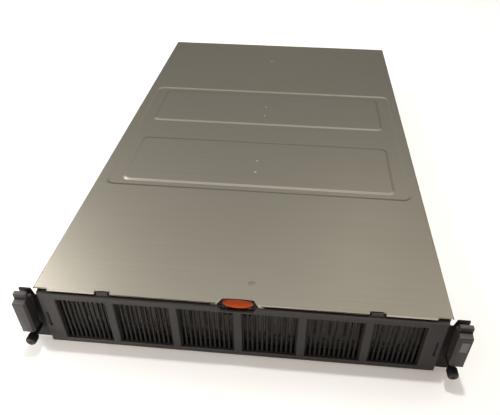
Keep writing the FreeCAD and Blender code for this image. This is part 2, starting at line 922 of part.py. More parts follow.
def fan_frames():
    """Square frames with a round duct, each with a cross of spokes that carries its shaft."""
    body = new_body("fan_frames", x=fan_x(0), y=FAN_FACE, z="fan_height")
    half = "(fan_size / 2)"
    inset = "(fan_size / 2 - frame_corner)"
    rear = "(fan_depth - spoke_depth)"
    duct = new_sketch(body, "XZ")
    quarter = [(half, inset), (inset, half)]
    upper = quarter + [(f"-{across}", up) for across, up in reversed(quarter)]
    polygon(duct, upper + [(across, f"-{up}") for across, up in reversed(upper)])
    star(duct, "0", "0", DUCT_CORNERS * ["fan_bore"])
    features = [pad(body, duct, "fan_depth", backward=True)]
    span = ("-fan_bore - spoke_root", "fan_bore + spoke_root")
    width = ("-spoke_half", "spoke_half")
    for across, up in ((span, width), (width, span)):
        spoke = new_sketch(body, "XZ", rear)
        rectangle(spoke, across, up)
        features.append(pad(body, spoke, "spoke_depth", backward=True))
    hub = new_sketch(body, "XZ", rear)
    star(hub, "0", "0", SMALL_ROUND_CORNERS * ["fan_hub"])
    features.append(pad(body, hub, "spoke_depth", backward=True))
    shaft = new_sketch(body, "XZ", "shaft_start")
    circle(shaft, "0", "0", "fan_shaft")
    features.append(pad(body, shaft, f"{rear} - shaft_start", backward=True))
    row(body, features, "X", "fan_pitch", FANS)


def fan_rotor(fan):
    """Hub that turns on the frame's shaft, with pitched blades."""
    body = new_body(f"fan_rotor_{fan + 1}", x=fan_x(fan), y=FAN_FACE, z="fan_height")
    hub = new_sketch(body, "XZ", "hub_front")
    star(hub, "0", "0", HUB_CORNERS * ["fan_hub"])
    pad(body, hub, "hub_rear - hub_front", backward=True)
    bore = new_sketch(body, "XZ", "shaft_start - shaft_room")
    circle(bore, "0", "0", "fan_shaft + shaft_play")
    pocket(body, bore, "fan_depth")
    section = new_sketch(body, "YZ", "fan_hub - blade_sheet")
    front = "(hub_front + blade_sheet)"
    rear = "(hub_rear - blade_sheet)"
    polygon(
        section,
        [
            (front, "-blade_rise"),
            (f"{front} + blade_sheet", "-blade_rise"),
            (rear, "blade_rise"),
            (f"{rear} - blade_sheet", "blade_rise"),
        ],
    )
    ring(body, [pad(body, section, "fan_tip - fan_hub + blade_sheet")], FAN_BLADES)


# Electronics

MEMORY_STARTS = ("cpu_first - memory_before", "cpu_first + memory_after")


def square(sketch, x, y, half):
    rectangle(sketch, (f"{x} - {half}", f"{x} + {half}"), (f"{y} - {half}", f"{y} + {half}"))


def mainboard():
    body = new_body("mainboard")
    board = new_sketch(body, "XY", "board_base")
    rectangle(board, ("board_left", "board_right"), ("board_front", "board_rear"))
    pad(body, board, "board_sheet")
    sockets = new_sketch(body, "XY", BOARD_TOP)
    square(sockets, "cpu_first", "cpu_y", "cpu_side / 2")
    row(body, [pad(body, sockets, "cpu_height")], "X", "cpu_pitch", PROCESSORS)
    half = "(memory_length / 2 + bank_margin)"
    for start in MEMORY_STARTS:
        for processor in range(PROCESSORS):
            bank = new_sketch(body, "XY", BOARD_TOP)
            middle = f"{start} + {processor} * cpu_pitch"
            across = (f"{middle} - bank_half", f"{middle} + bank_half")
            rectangle(bank, across, (f"cpu_y - {half}", f"cpu_y + {half}"))
            row(body, [pad(body, bank, "bank_height")], "X", "memory_pitch", MODULES_PER_BANK)
    chips = new_sketch(body, "XY", BOARD_TOP)
    square(chips, "0", "chipset_y", "chipset_half")
    square(chips, "controller_x", "controller_y", "controller_half")
    for front in ("riser_y", "(riser_y + riser_pitch)"):
        rectangle(chips, ("riser_left", "riser_right"), (front, f"{front} + riser_width"))
    pad(body, chips, "chip_height")
    coils = new_sketch(body, "XY", BOARD_TOP)
    across = ("cpu_first + coil_first", "cpu_first + coil_first + coil_side")
    rectangle(coils, across, ("cpu_y + coil_y", "cpu_y + coil_y + coil_side"))
    row(body, [pad(body, coils, "coil_height")], "X", "coil_pitch", COILS)


def heat_sink(processor):
    body = new_body(f"heat_sink_{processor + 1}", x=f"cpu_first + {processor} * cpu_pitch", y="cpu_y")
    half = "sink_side / 2"
    base = new_sketch(body, "XY", f"{BOARD_TOP} + cpu_height")
    square(base, "0", "0", half)
    pad(body, base, "sink_base")
    fin = new_sketch(body, "XY", f"{BOARD_TOP} + cpu_height + sink_base")
    rectangle(fin, (f"-{half}", f"-{half} + fin_sheet"), (f"-{half}", half))
    fins = int((size("sink_side") - size("fin_sheet")) / size("fin_pitch")) + 1
    row(body, [pad(body, fin, "sink_height - sink_base")], "X", "fin_pitch", fins)


def memory_modules():
    body = new_body("memory_modules")
    card = new_sketch(body, "XY", f"{BOARD_TOP} + bank_height")
    length = ("cpu_y - memory_length / 2", "cpu_y + memory_length / 2")
    for start in MEMORY_STARTS:
        for processor in range(PROCESSORS):
            middle = f"{start} + {processor} * cpu_pitch"
            rectangle(card, (f"{middle} - memory_sheet / 2", f"{middle} + memory_sheet / 2"), length)
    row(body, [pad(body, card, "memory_height")], "X", "memory_pitch", MODULES_PER_BANK)


def network_jacks():
    """A block of sockets at the board's rear edge, open to the back."""
    body = new_body("network_jacks")
    shell = new_sketch(body, "XZ", "tray_end - jack_depth")
    across = ("jack_left", f"jack_left + {JACKS} * jack_pitch")
    rectangle(shell, across, (BOARD_TOP, f"{BOARD_TOP} + jack_height"))
    pad(body, shell, "jack_depth", backward=True)
    mouth = new_sketch(body, "XZ", "tray_end")
    left = "jack_left + jack_wall"
    right = "jack_left + jack_pitch - jack_wall"
    low = f"({BOARD_TOP} + jack_floor)"
    step = f"{low} + jack_key_rise"
    high = f"{low} + jack_mouth"
    polygon(
        mouth,
        [
            (left, step),
            (f"{left} + jack_key_side", step),
            (f"{left} + jack_key_side", low),
            (f"{right} - jack_key_side", low),
            (f"{right} - jack_key_side", step),
            (right, step),
            (right, high),
            (left, high),
        ],
    )
    socket = pocket(body, mouth, "jack_depth - jack_back", forward=True)
    row(body, [socket], "X", "jack_pitch", JACKS)


# Power

def power_bay():
    """A wall and a shelf that guide the two supplies."""
    depth = ("bay_front", "panel_face")
    wall = block("bay_side", ("bay_wall", "bay_wall + skin"), depth, ("skin", f"{TRAY_TOP} - 2 * skin"))
    low = "supply_base + supply_height + shelf_play"
    shelf = block("bay_shelf", ("bay_wall + skin", TRAY_INNER), depth, (low, f"{low} + skin"))
    sub_part(fuse("power_bay", [wall, shelf]), "power_bay")


LATCH_X = f"({SUPPLY_RIGHT} - latch_inset)"
LATCH_Y = "(supply_rear + latch_reach)"
INLET_LEFT = "(supply_left + inlet_inset)"
INLET_RIGHT = f"({INLET_LEFT} + inlet_width)"
INLET_TOP = "(inlet_low + inlet_height)"


def supply_level(supply):
    return f"supply_base + {supply} * supply_rise"


def supply_case(supply):
    """Closed steel box with a slotted rear wall, an inlet opening and a lug for the latch."""
    body = new_body(f"supply_case_{supply + 1}", z=supply_level(supply))
    bounds = (("supply_left", SUPPLY_RIGHT), ("0", "supply_height"))
    tube = new_sketch(body, "XZ", "supply_front")
    rectangle(tube, *bounds)
    rectangle(tube, ("supply_left + skin", f"{SUPPLY_RIGHT} - skin"), ("skin", "supply_height - skin"))
    pad(body, tube, "supply_rear - supply_front", backward=True)
    for level in ("supply_front", "supply_rear - skin"):
        wall = new_sketch(body, "XZ", level)
        rectangle(wall, *bounds)
        pad(body, wall, "skin", backward=True)
    inlet = new_sketch(body, "XZ", "supply_rear")
    rectangle(inlet, (INLET_LEFT, INLET_RIGHT), ("inlet_low", INLET_TOP))
    pocket(body, inlet, "skin", forward=True)
    vent = new_sketch(body, "XZ", "supply_rear")
    start = f"{INLET_LEFT} + grid_start"
    rectangle(vent, (start, f"{start} + grid_slot"), ("grid_low", "grid_high"))
    row(body, [pocket(body, vent, "skin", forward=True)], "X", "grid_pitch", SUPPLY_SLOTS)
    lug = new_sketch(body, "XY", "lug_low")
    across = (f"{LATCH_X} - lug_half", f"{LATCH_X} + lug_half")
    rectangle(lug, across, ("supply_rear", f"{LATCH_Y} + lug_half"))
    circle(lug, LATCH_X, LATCH_Y, "pivot_radius + pivot_play")
    pad(body, lug, "lug_high - lug_low")


def supply_inlet(supply):
    """Appliance inlet: a shroud with three blades standing in its well."""
    body = new_body(f"supply_inlet_{supply + 1}", z=supply_level(supply))
    face = "supply_rear + inlet_rim"
    shroud = new_sketch(body, "XZ", "supply_rear - inlet_depth")
    rectangle(shroud, (INLET_LEFT, INLET_RIGHT), ("inlet_low", INLET_TOP))
    pad(body, shroud, "inlet_depth + inlet_rim", backward=True)
    well = new_sketch(body, "XZ", face)
    left, right = f"{INLET_LEFT} + well_side", f"{INLET_RIGHT} - well_side"
    low, high = "inlet_low + well_edge", f"{INLET_TOP} - well_edge"
    polygon(
        well,
        [
            (left, low),
            (right, low),
            (right, f"{high} - well_corner"),
            (f"{right} - well_corner", high),
            (f"{left} + well_corner", high),
            (left, f"{high} - well_corner"),
        ],
    )
    pocket(body, well, "well_depth", forward=True)
    prongs = new_sketch(body, "XZ", f"{face} - well_depth")
    middle = f"{INLET_LEFT} + inlet_width / 2"
    for x, level in (
        (f"{middle} - prong_offset", "prong_level"),
        (f"{middle} + prong_offset", "prong_level"),
        (middle, "earth_level"),
    ):
        height = (f"inlet_low + {level}", f"inlet_low + {level} + prong_height")
        rectangle(prongs, (f"{x} - prong_half", f"{x} + prong_half"), height)
    pad(body, prongs, "prong_length", backward=True)


def supply_handle(supply):
    """A bent strap to pull the supply by."""
    body = new_body(f"supply_handle_{supply + 1}", z=supply_level(supply))
    strap = new_sketch(body, "XY", "strap_low")
    left, right = f"({INLET_LEFT} + strap_left)", f"({INLET_LEFT} + strap_right)"
    back = "(supply_rear + strap_reach)"
    inside = "(strap_sheet + strap_inner)"
    outer = [
        (right, "supply_rear"),
        (right, f"{back} - strap_corner"),
        (f"{right} - strap_corner", back),
        (f"{left} + strap_corner", back),
        (left, f"{back} - strap_corner"),
        (left, "supply_rear"),
    ]
    inner = [
        (f"{left} + strap_sheet", "supply_rear"),
        (f"{left} + strap_sheet", f"{back} - {inside}"),
        (f"{left} + {inside}", f"{back} - strap_sheet"),
        (f"{right} - {inside}", f"{back} - strap_sheet"),
        (f"{right} - strap_sheet", f"{back} - {inside}"),
        (f"{right} - strap_sheet", "supply_rear"),
    ]
    polygon(strap, outer + inner)
    pad(body, strap, "strap_height")


def supply_latch(supply):
    """A thumb tab with two cheeks, whose pin turns in the lug of the case."""
    body = new_body(f"supply_latch_{supply + 1}", z=supply_level(supply))
    tab = new_sketch(body, "XY", "latch_low")
    polygon(tab, [(f"{LATCH_X} + {across}", f"{LATCH_Y} + {back}") for across, back in LATCH_OUTLINE])
    pad(body, tab, "latch_high - latch_low")
    throat = new_sketch(body, "YZ", f"{LATCH_X} + {LATCH_SIDE}")
    height = ("lug_low - throat_play", "lug_high + throat_play")
    rectangle(throat, ("supply_rear", f"{LATCH_Y} + throat_depth"), height)
    pocket(body, throat)
    pin = new_sketch(body, "XY", height[0])
    circle(pin, LATCH_X, LATCH_Y, "pivot_radius")
    pad(body, pin, "lug_high - lug_low + 2 * throat_play")


# Front: bezel, grilles, release button

def window_bounds(window):
    """Left and right edge of one of the six windows; the outer two end short."""
    start = f"({window} - {BAYS} / 2) * window_pitch"
    left = f"({start} + window_bar / 2)" if window > 0 else "(-window_edge)"
    right = f"({start} + window_pitch - window_bar / 2)" if window < BAYS - 1 else "(window_edge)"
    return left, right


def bezel_frame():
    """Moulded front: plate with six windows, a step under the cover's edge, ribs behind the bars."""
    body = new_body("bezel_frame")
    back = "(band_front + bezel_wall)"
    section = new_sketch(body, "YZ", "-bezel_half")
    polygon(
        section,
        [
            ("bezel_front", "bezel_bottom"),
            ("bezel_front", "bezel_step"),
            ("band_front", "bezel_step"),
            ("band_front", "bezel_top"),
            (back, "bezel_top"),
            (back, "bezel_step - bezel_wall"),
            (PLATE_BACK, "bezel_step - bezel_wall"),
            (PLATE_BACK, "bezel_bottom + bezel_wall"),
            ("bezel_rear", "bezel_bottom + bezel_wall"),
            ("bezel_rear", "bezel_bottom"),
        ],
    )
    pad(body, section, "2 * bezel_half")
    front = size("bezel_front")
    half = size("bezel_half")
    rim = edges_at(body, "x", y=(front,), z=(size("bezel_bottom"), size("bezel_step")))
    rim += edges_at(body, "z", x=(half, -half), y=(front,))
    soften(body, "Chamfer", "bezel_edge", rim)
    bezel_back(body, back)
    windows = new_sketch(body, "XZ", "bezel_front")
    for window in range(BAYS):
        rectangle(windows, window_bounds(window), ("window_bottom", "window_top"))
    pocket(body, windows, "bezel_plate")
    sides = [size(edge) for window in range(BAYS) for edge in window_bounds(window)]
    bevel = edges_at(body, "z", y=(front,), x=sides)
    bevel += edges_at(body, "x", y=(front,), z=(size("window_bottom"), size("window_top")))
    soften(body, "Chamfer", "bezel_edge", bevel)
    slits = new_sketch(body, "XZ", "bezel_front")
    for middle in ("(bezel_half - slit_inset)", "(slit_inset - bezel_half)"):
        rectangle(slits, (f"{middle} - slit_half", f"{middle} + slit_half"), ("slit_low", "slit_high"))
    pocket(body, slits, "bezel_plate - slit_floor")
    side = size("bezel_half - slit_inset + slit_half")
    soften(body, "Chamfer", "slit_bevel", edges_at(body, "z", y=(front,), x=(side, -side)))
    pouch = new_sketch(body, "XZ", "bezel_front")
    right = [
        ("button_half + pouch_gap", "pouch_bottom"),
        ("button_half + pouch_flare", "pouch_shoulder"),
        ("button_half + pouch_flare", "bezel_step"),
        ("lip_end + skin", "bezel_step"),
        ("lip_end + skin", "case_height"),
    ]
    polygon(pouch, right + [(f"-({across})", up) for across, up in reversed(right)])
    pocket(body, pouch)


def bezel_back(body, back):
    """Cheeks, ribs and the button's shelf behind the plate, and the tabs on its top."""
    inside = "(bezel_bottom + bezel_wall)"
    for level in ("-bezel_half", "bezel_half - bezel_wall"):
        cheek = new_sketch(body, "YZ", level)
        rectangle(cheek, (PLATE_BACK, "bezel_rear"), (inside, "bezel_step - bezel_wall"))
        pad(body, cheek, "bezel_wall")
    ribs = new_sketch(body, "XZ", PLATE_BACK)
    for bar in range(1, BAYS):
        middle = f"({bar} - {BAYS} / 2) * window_pitch"
        rectangle(ribs, (f"{middle} - rib_half", f"{middle} + rib_half"), (inside, "shelf_top - shelf_sheet"))
    pad(body, ribs, "rib_depth", backward=True)
    shelf = new_sketch(body, "XY", "shelf_top - shelf_sheet")
    rectangle(shelf, ("-shelf_half", "shelf_half"), ("shelf_front", back))
    pad(body, shelf, "shelf_sheet")
    tabs = new_sketch(body, "XY", "bezel_step")
    for middle in ("tab_x", "-tab_x"):
        rectangle(tabs, (f"{middle} - tab_half", f"{middle} + tab_half"), ("tab_front", "tab_back"))
    pad(body, tabs, "tab_top - bezel_step")


def bezel_grille(window):
    """A slatted insert that laps the back of its window."""
    body = new_body(f"bezel_grille_{window + 1}")
    left, right = window_bounds(window)
    sheet = new_sketch(body, "XZ", PLATE_BACK)
    height = ("window_bottom - grille_lap", "window_top + grille_lap")
    rectangle(sheet, (f"{left} - grille_lap", f"{right} + grille_lap"), height)
    pad(body, sheet, "grille_sheet", backward=True)
    slots = int((size(right) - size(left)) / size("slot_pitch"))
    margin = f"(({right} - {left}) - {slots} * slot_pitch + slot_pitch - slot_width) / 2"
    first = new_sketch(body, "XZ", PLATE_BACK)
    height = ("window_bottom + slot_margin", "window_top - slot_margin")
    rectangle(first, (f"{left} + {margin}", f"{left} + {margin} + slot_width"), height)
    row(body, [pocket(body, first)], "X", "slot_pitch", slots)


def release_button():
    """Push button with a scooped thumb face, swept front corners and a stem behind the bezel's plate."""
    body = new_body("release_button")
    profile = new_sketch(body, "YZ", "-button_half")
    corners = [
        ("button_rear", "button_crest"),
        ("button_rear", "button_neck"),
        ("stem_rear", "button_neck"),
        ("stem_rear", "stem_bottom"),
        ("stem_front", "stem_bottom"),
        ("stem_front", "button_foot"),
        ("button_face", "button_foot"),
        ("button_face", "button_chin"),
        ("button_front", "button_chin"),
        ("button_front", "button_lip"),
    ]
    points = [Vector(size(across), size(up), 0) for across, up in corners]
    for start, end in zip(points, points[1:]):
        profile.addGeometry(Part.LineSegment(start, end))
    lines = len(points) - 1
    for index in range(lines - 1):
        profile.addConstraint(Sketcher.Constraint("Coincident", index, 2, index + 1, 1))
    for index, (across, up) in enumerate(corners[:-1]):
        fix_point(profile, index, 1, across, up)
    fix_point(profile, lines - 1, 2, *corners[-1])
    crest, lip = points[0], points[-1]
    chord = crest - lip
    dip = Vector(chord.y, -chord.x, 0).normalize() * size("button_scoop")
    scoop = profile.addGeometry(Part.Arc(lip, (crest + lip) / 2 + dip, crest))
    profile.addConstraint(Sketcher.Constraint("Coincident", scoop, 1, lines - 1, 2))
    profile.addConstraint(Sketcher.Constraint("Coincident", scoop, 2, 0, 1))
    profile.addConstraint(Sketcher.Constraint("Radius", scoop, profile.Geometry[scoop].Radius))
    pad(body, profile, "2 * button_half")
    ends = new_sketch(body, "XY", "case_height")
    for side in ("", "-"):
        tip = f"{side}(button_half + button_trim)"
        front = "button_front - button_trim"
        root = f"{side}(button_half - button_corner)"
        polygon(ends, [(tip, front), (tip, "button_front + button_corner"), (root, front)])
    pocket(body, ends)


def button_spring():
    """A bent leaf between the bezel's shelf and the button's stem."""
    body = new_body("button_spring")
    leaf = new_sketch(body, "XZ", "leaf_front")
    polygon(
        leaf,
        [
            ("-leaf_half", "shelf_top"),
            ("leaf_foot - leaf_half", "shelf_top"),
            ("0", "stem_bottom - leaf_sheet"),
            ("leaf_half - leaf_foot", "shelf_top"),
            ("leaf_half", "shelf_top"),
            ("0", "stem_bottom"),
        ],
    )
    pad(body, leaf, "leaf_width", backward=True)


# Rack ears, right side, with the left side as mirror images

def ear_bracket():
    """Flange in front of the rack's rail, a plate along the case's side and a tongue for the lever's pin."""
    body = new_body("ear_bracket_right")
    flange = new_sketch(body, "XZ", "flange_front")
    polygon(
        flange,
        [
            (TRAY_HALF, "ear_low"),
            (EAR_TIP, "ear_low"),
            (EAR_TIP, "horn_top"),
            ("horn_inner + horn_slope", "horn_top"),
            ("horn_inner", "ear_high"),
            (TRAY_HALF, "ear_high"),
        ],
    )
    pad(body, flange, "flange_sheet", backward=True)
    side = new_sketch(body, "YZ", TRAY_HALF)
    rectangle(side, ("flange_front", "ear_reach"), ("ear_side_low", "ear_high"))
    pad(body, side, f"case_width / 2 - ear_play - {TRAY_HALF}")
    tongue = new_sketch(body, "YZ", "tongue_inner")
    rectangle(tongue, ("tongue_front", "flange_front"), ("tongue_low", "tongue_high"))
    circle(tongue, "pivot_y", "pivot_z", "pivot_radius")
    pad(body, tongue, "tongue_outer - tongue_inner")
    openings = new_sketch(body, "XZ", "flange_front")
    circle(openings, "rack_spacing / 2", "screw_height", "stud_radius + screw_play")
    rectangle(openings, ("gate_inner", "gate_outer"), ("gate_low", "ear_high"))
    pocket(body, openings, "flange_sheet")
    mirror_image("ear_bracket_left", body)


def ear_lever():
    """Latch lever: stepped thumb grip, hollow back, pivot bore and a hook that reaches behind the flange."""
    body = new_body("ear_lever_right")
    profile = new_sketch(body, "YZ", "lever_inner")
    polygon(
        profile,
        [
            ("lever_front", "lever_bottom"),
            ("lever_front", "lever_nose"),
            ("tread_back", "lever_nose + tread_rise"),
            ("tread_back", "lever_top - crest_rise"),
            ("crest_back", "lever_top"),
            ("crest_back", "lever_shoulder"),
            ("lever_back", "lever_shoulder"),
            ("lever_back", "heel_high"),
            ("heel_back", "heel_low"),
            ("heel_back", "lever_bottom"),
        ],
    )
    pad(body, profile, f"{EAR_TIP} - lever_inner")
    front = size("lever_front")
    soften(body, "Chamfer", "lever_bevel", edges_at(body, "z", x=(size("lever_inner"),), y=(front,)))
    hollow = new_sketch(body, "XZ", "lever_back")
    across = ("lever_inner + lever_wall", f"{EAR_TIP} - lever_wall")
    rectangle(hollow, across, ("lever_bottom + lever_wall", "lever_nose - lever_wall"))
    pocket(body, hollow, "lever_back - lever_front - lever_wall", forward=True)
    hook = new_sketch(body, "YZ", "hook_inner")
    root = "lever_front + lever_wall"
    polygon(
        hook,
        [
            (root, "hook_low"),
            ("hook_face", "hook_low"),
            ("hook_face", "hook_tip"),
            ("hook_end", "hook_tip"),
            ("hook_end", "hook_high"),
            (root, "hook_high"),
        ],
    )
    pad(body, hook, "hook_sheet")
    bore = new_sketch(body, "YZ", EAR_TIP)
    circle(bore, "pivot_y", "pivot_z", "pivot_radius + pivot_play")
    pocket(body, bore)
    mirror_image("ear_lever_left", body)


def lever_pin():
    length = f"{EAR_TIP} - lever_inner - 2 * pin_inset"
    pin = rod("lever_pin", "x", "pivot_radius", length, "lever_inner + pin_inset", "pivot_y", "pivot_z")
    right = sub_part(group("lever_pin_group", [pin]), "lever_pin_right")
    mirror_image("lever_pin_left", right)


def label_plate():
    """The plain grey rectangle on the right lever."""
    depth = ("lever_front - label_sheet", "lever_front")
    plate = block("plate_blank", ("label_inner", "label_outer"), depth, ("label_low", "label_high"))
    sub_part(group("label_plate_group", [plate]), "label_plate")


def thumb_screw():
    """Captive screw: fluted knob, collar on the flange, thin neck through it, stud behind it."""
    body = new_body("thumb_screw_right", x="rack_spacing / 2", z="screw_height")
    knob = new_sketch(body, "XZ", "knob_front")
    star(knob, "0", "0", KNOB_FLUTES * ["knob_radius", "knob_radius", "(knob_radius - knob_groove)"])
    pad(body, knob, "knob_back - knob_front", backward=True)
    collar = new_sketch(body, "XZ", "knob_back")
    star(collar, "0", "0", SMALL_ROUND_CORNERS * ["collar_radius"])
    pad(body, collar, "flange_front - knob_back", backward=True)
    neck = new_sketch(body, "XZ", "flange_front")
    star(neck, "0", "0", SMALL_ROUND_CORNERS * ["neck_radius"])
    pad(body, neck, "neck_end - flange_front", backward=True)
    stud = new_sketch(body, "XZ", "neck_end")
    circle(stud, "0", "0", "stud_radius")
    pad(body, stud, "stud_end - neck_end", backward=True)
    mirror_image("thumb_screw_left", body)


def build():
    chassis_tray()
    board_posts()
    top_cover()
    rear_panel()
    slot_covers()
    cross_brace()
    drive_cage()
    hard_drives()
    backplane()
    fan_wall()
    fan_frames()
    mainboard()
    memory_modules()
    network_jacks()
    power_bay()
    bezel_frame()
    release_button()
    button_spring()
    ear_bracket()
    ear_lever()
    lever_pin()
    label_plate()
    thumb_screw()
    for index in range(BAYS):
        drive_carriers(index)
        bezel_grille(index)
    for index in range(FANS):
        fan_rotor(index)
    for index in range(PROCESSORS):
        heat_sink(index)
    for index in range(SUPPLIES):
        supply_case(index)
        supply_inlet(index)
        supply_handle(index)
        supply_latch(index)
    doc.recompute()


def write_parts():
    for item in doc.Objects:
        if "Invalid" in item.State or "Error" in item.State:
            raise RuntimeError(f"{item.Label} did not build: {item.State}")
    for item in sub_parts:
        if item.Shape.isNull() or not item.Shape.isValid():
            raise RuntimeError(f"{item.Label} has no valid shape")
    os.makedirs("parts", exist_ok=True)
    for item in sub_parts:
        item.Shape.exportStep(f"parts/{item.Label}.step")


build()
write_parts()
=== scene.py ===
import json
import math
import bmesh
import bpy
from mathutils import Matrix, Vector


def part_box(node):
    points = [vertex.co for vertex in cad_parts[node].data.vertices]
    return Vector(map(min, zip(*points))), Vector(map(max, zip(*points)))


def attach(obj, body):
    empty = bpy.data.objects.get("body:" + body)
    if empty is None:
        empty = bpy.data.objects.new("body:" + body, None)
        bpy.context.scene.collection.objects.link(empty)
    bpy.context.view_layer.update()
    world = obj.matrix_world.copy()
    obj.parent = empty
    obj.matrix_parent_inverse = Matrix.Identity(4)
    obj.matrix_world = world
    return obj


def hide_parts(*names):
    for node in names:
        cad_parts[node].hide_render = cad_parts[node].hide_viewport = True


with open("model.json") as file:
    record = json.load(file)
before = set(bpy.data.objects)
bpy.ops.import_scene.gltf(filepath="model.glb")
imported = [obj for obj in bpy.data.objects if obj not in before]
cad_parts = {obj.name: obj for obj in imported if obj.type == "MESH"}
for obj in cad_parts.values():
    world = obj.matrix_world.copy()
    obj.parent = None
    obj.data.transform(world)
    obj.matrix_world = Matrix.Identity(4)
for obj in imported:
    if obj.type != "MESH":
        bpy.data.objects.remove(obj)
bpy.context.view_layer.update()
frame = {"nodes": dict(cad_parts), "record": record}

# The rack storage appliance: satin steel cover, charcoal bezel with slatted grilles and an orange
# release button, black rack ears, and what sits inside and at the rear.
# Its sizes and places are in millimetres: across from the middle, back from the cover's front edge
# and up from the underside. What the frame gives, the floor, the lights and the camera are in metres.

NODES = frame["nodes"]
BODY_OF = {node: body for body, nodes in frame["record"]["behaviour"]["bodies"].items() for node in nodes}
SLOT_OF = {part["node"]: part["material_slot"] for part in frame["record"]["subparts"]}
COVER_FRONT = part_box("top_cover")[0].y
SIDES = {"left": -1, "right": 1}
BAYS, BAY_PITCH = range(1, 7), 70
UP, DOWN = Vector((0, 0, 1)), Vector((0, 0, -1))
BACK, FRONT = Vector((0, 1, 0)), Vector((0, -1, 0))
RIGHT = Vector((1, 0, 0))


def at(x, y, z):
    """A point on the appliance, in metres."""
    return Vector((x / 1000, y / 1000 + COVER_FRONT, z / 1000))


def metres(size):
    """A size in millimetres, or a tuple of sizes, in metres."""
    return tuple(part / 1000 for part in size) if isinstance(size, tuple) else size / 1000


def spread(start, pitch, count):
    """Evenly spaced places along a line."""
    return [start + pitch * index for index in range(count)]


# Nodes, for finishes and for shapes

def new_node(tree, kind, settings=None, **links):
    """A node whose sockets take links or plain values. The labels n0, n1 and so on number the sockets."""
    node = tree.nodes.new(kind)
    for key, value in (settings or {}).items():
        setattr(node, key, value)
    for label, source in links.items():
        number = label[1:]
        socket = node.inputs[int(number) if number.isdigit() else label.replace("_", " ")]
        if isinstance(source, bpy.types.NodeSocket):
            tree.links.new(source, socket)
        else:
            socket.default_value = source
    return node


def step(tree, kind, settings=None, **links):
    """The first output of a new node."""
    return new_node(tree, kind, settings, **links).outputs[0]


def math_step(tree, operation, first, second=0.0):
    return step(tree, "ShaderNodeMath", {"operation": operation}, n0=first, n1=second)


def times(tree, first, second):
    return math_step(tree, "MULTIPLY", first, second)


# Finishes

def finish(name, metal=0.0, **sockets):
    """A new material, its node tree and its shader."""
    material = bpy.data.materials.new(name)
    material.use_nodes = True
    shader = material.node_tree.nodes["Principled BSDF"]
    for label, value in {"Metallic": metal, **sockets}.items():
        shader.inputs[label.replace("_", " ")].default_value = value
    return material, material.node_tree, shader


def wire(tree, shader, **patterns):
    """Link patterns to the shader's sockets."""
    for label, pattern in patterns.items():
        tree.links.new(pattern, shader.inputs[label.replace("_", " ")])


def surface_place(tree, stretch=(1, 1, 1)):
    """Object coordinates, stretched."""
    place = new_node(tree, "ShaderNodeTexCoord").outputs["Object"]
    return step(tree, "ShaderNodeMapping", Vector=place, Scale=stretch)


def clouds(tree, place, scale, detail=3.0):
    return new_node(tree, "ShaderNodeTexNoise", Vector=place, Scale=scale, Detail=detail).outputs["Fac"]


def cells(tree, place, scale):
    return new_node(tree, "ShaderNodeTexVoronoi", Vector=place, Scale=scale).outputs["Color"]


def blend_of(tree, first, second, share):
    """Two patterns mixed, with the share of the second."""
    return step(tree, "ShaderNodeMix", n0=share, n2=first, n3=second)


def tones(tree, pattern, dark, light, start=0.35, end=0.65):
    """Colour between two tones, by a pattern."""
    ramp = new_node(tree, "ShaderNodeValToRGB", Fac=pattern)
    low, high = ramp.color_ramp.elements
    low.position, high.position = start, end
    low.color, high.color = (*dark, 1), (*light, 1)
    return ramp.outputs["Color"]


def values(tree, pattern, low, high, start=0.35, end=0.65):
    """A number between two limits, by a pattern."""
    return step(tree, "ShaderNodeMapRange", Value=pattern, From_Min=start, From_Max=end, To_Min=low,
                To_Max=high)


def lift(tree, shader, pattern, depth, strength):
    """Fine relief from a pattern, with its depth in millimetres."""
    relief = step(tree, "ShaderNodeBump", Height=pattern, Distance=metres(depth), Strength=strength)
    wire(tree, shader, Normal=relief)


def worn_edges(tree, colour, lighter):
    """The colour, rubbed lighter along the outer edges."""
    edge = new_node(tree, "ShaderNodeNewGeometry").outputs["Pointiness"]
    rub = values(tree, edge, low=0.0, high=0.75, start=0.52, end=0.62)
    blend = new_node(tree, "ShaderNodeMix", {"data_type": "RGBA"}, n0=rub, n6=colour, n7=(*lighter, 1))
    return blend.outputs[2]


def rolled_steel(name, dark, light, rough, streak=(5, 620, 300), metal=1.0):
    """Satin metal with fine lines, as dense along each axis as the streak says."""
    material, tree, shader = finish(name, metal)
    lines = clouds(tree, surface_place(tree, streak), scale=1.0, detail=5.0)
    grain = blend_of(tree, lines, clouds(tree, surface_place(tree), scale=7.0), share=0.45)
    wire(tree, shader, Base_Color=tones(tree, grain, dark, light, start=0.32, end=0.68),
         Roughness=values(tree, grain, rough[1], rough[0], start=0.3, end=0.7))
    lift(tree, shader, lines, depth=0.02, strength=0.12)
    return material


def zinc_sheet(name, dark, light, rough):
    """Zinc-coated sheet with faint crystals."""
    material, tree, shader = finish(name, metal=1.0)
    place = surface_place(tree)
    crystals = blend_of(tree, cells(tree, place, scale=110.0), clouds(tree, place, scale=30.0), share=0.4)
    wire(tree, shader, Base_Color=tones(tree, crystals, dark, light, start=0.2, end=0.8),
         Roughness=values(tree, crystals, *rough, start=0.2, end=0.8))
    lift(tree, shader, clouds(tree, place, scale=900.0), depth=0.02, strength=0.3)
    return material


def moulding(name, dark, light, rough, grain=1700.0, rubbed=None, sheen=0.5):
    """Moulded plastic with a fine eroded texture."""
    material, tree, shader = finish(name, Specular_IOR_Level=sheen)
    place = surface_place(tree)
    drift = clouds(tree, place, scale=22.0)
    pebble = clouds(tree, place, scale=grain, detail=2.0)
    colour = tones(tree, blend_of(tree, drift, pebble, share=0.4), dark, light, start=0.3, end=0.7)
    if rubbed:
        colour = worn_edges(tree, colour, rubbed)
    wire(tree, shader, Base_Color=colour, Roughness=values(tree, drift, *rough, start=0.3, end=0.7))
    lift(tree, shader, pebble, depth=0.03, strength=0.6)
    return material


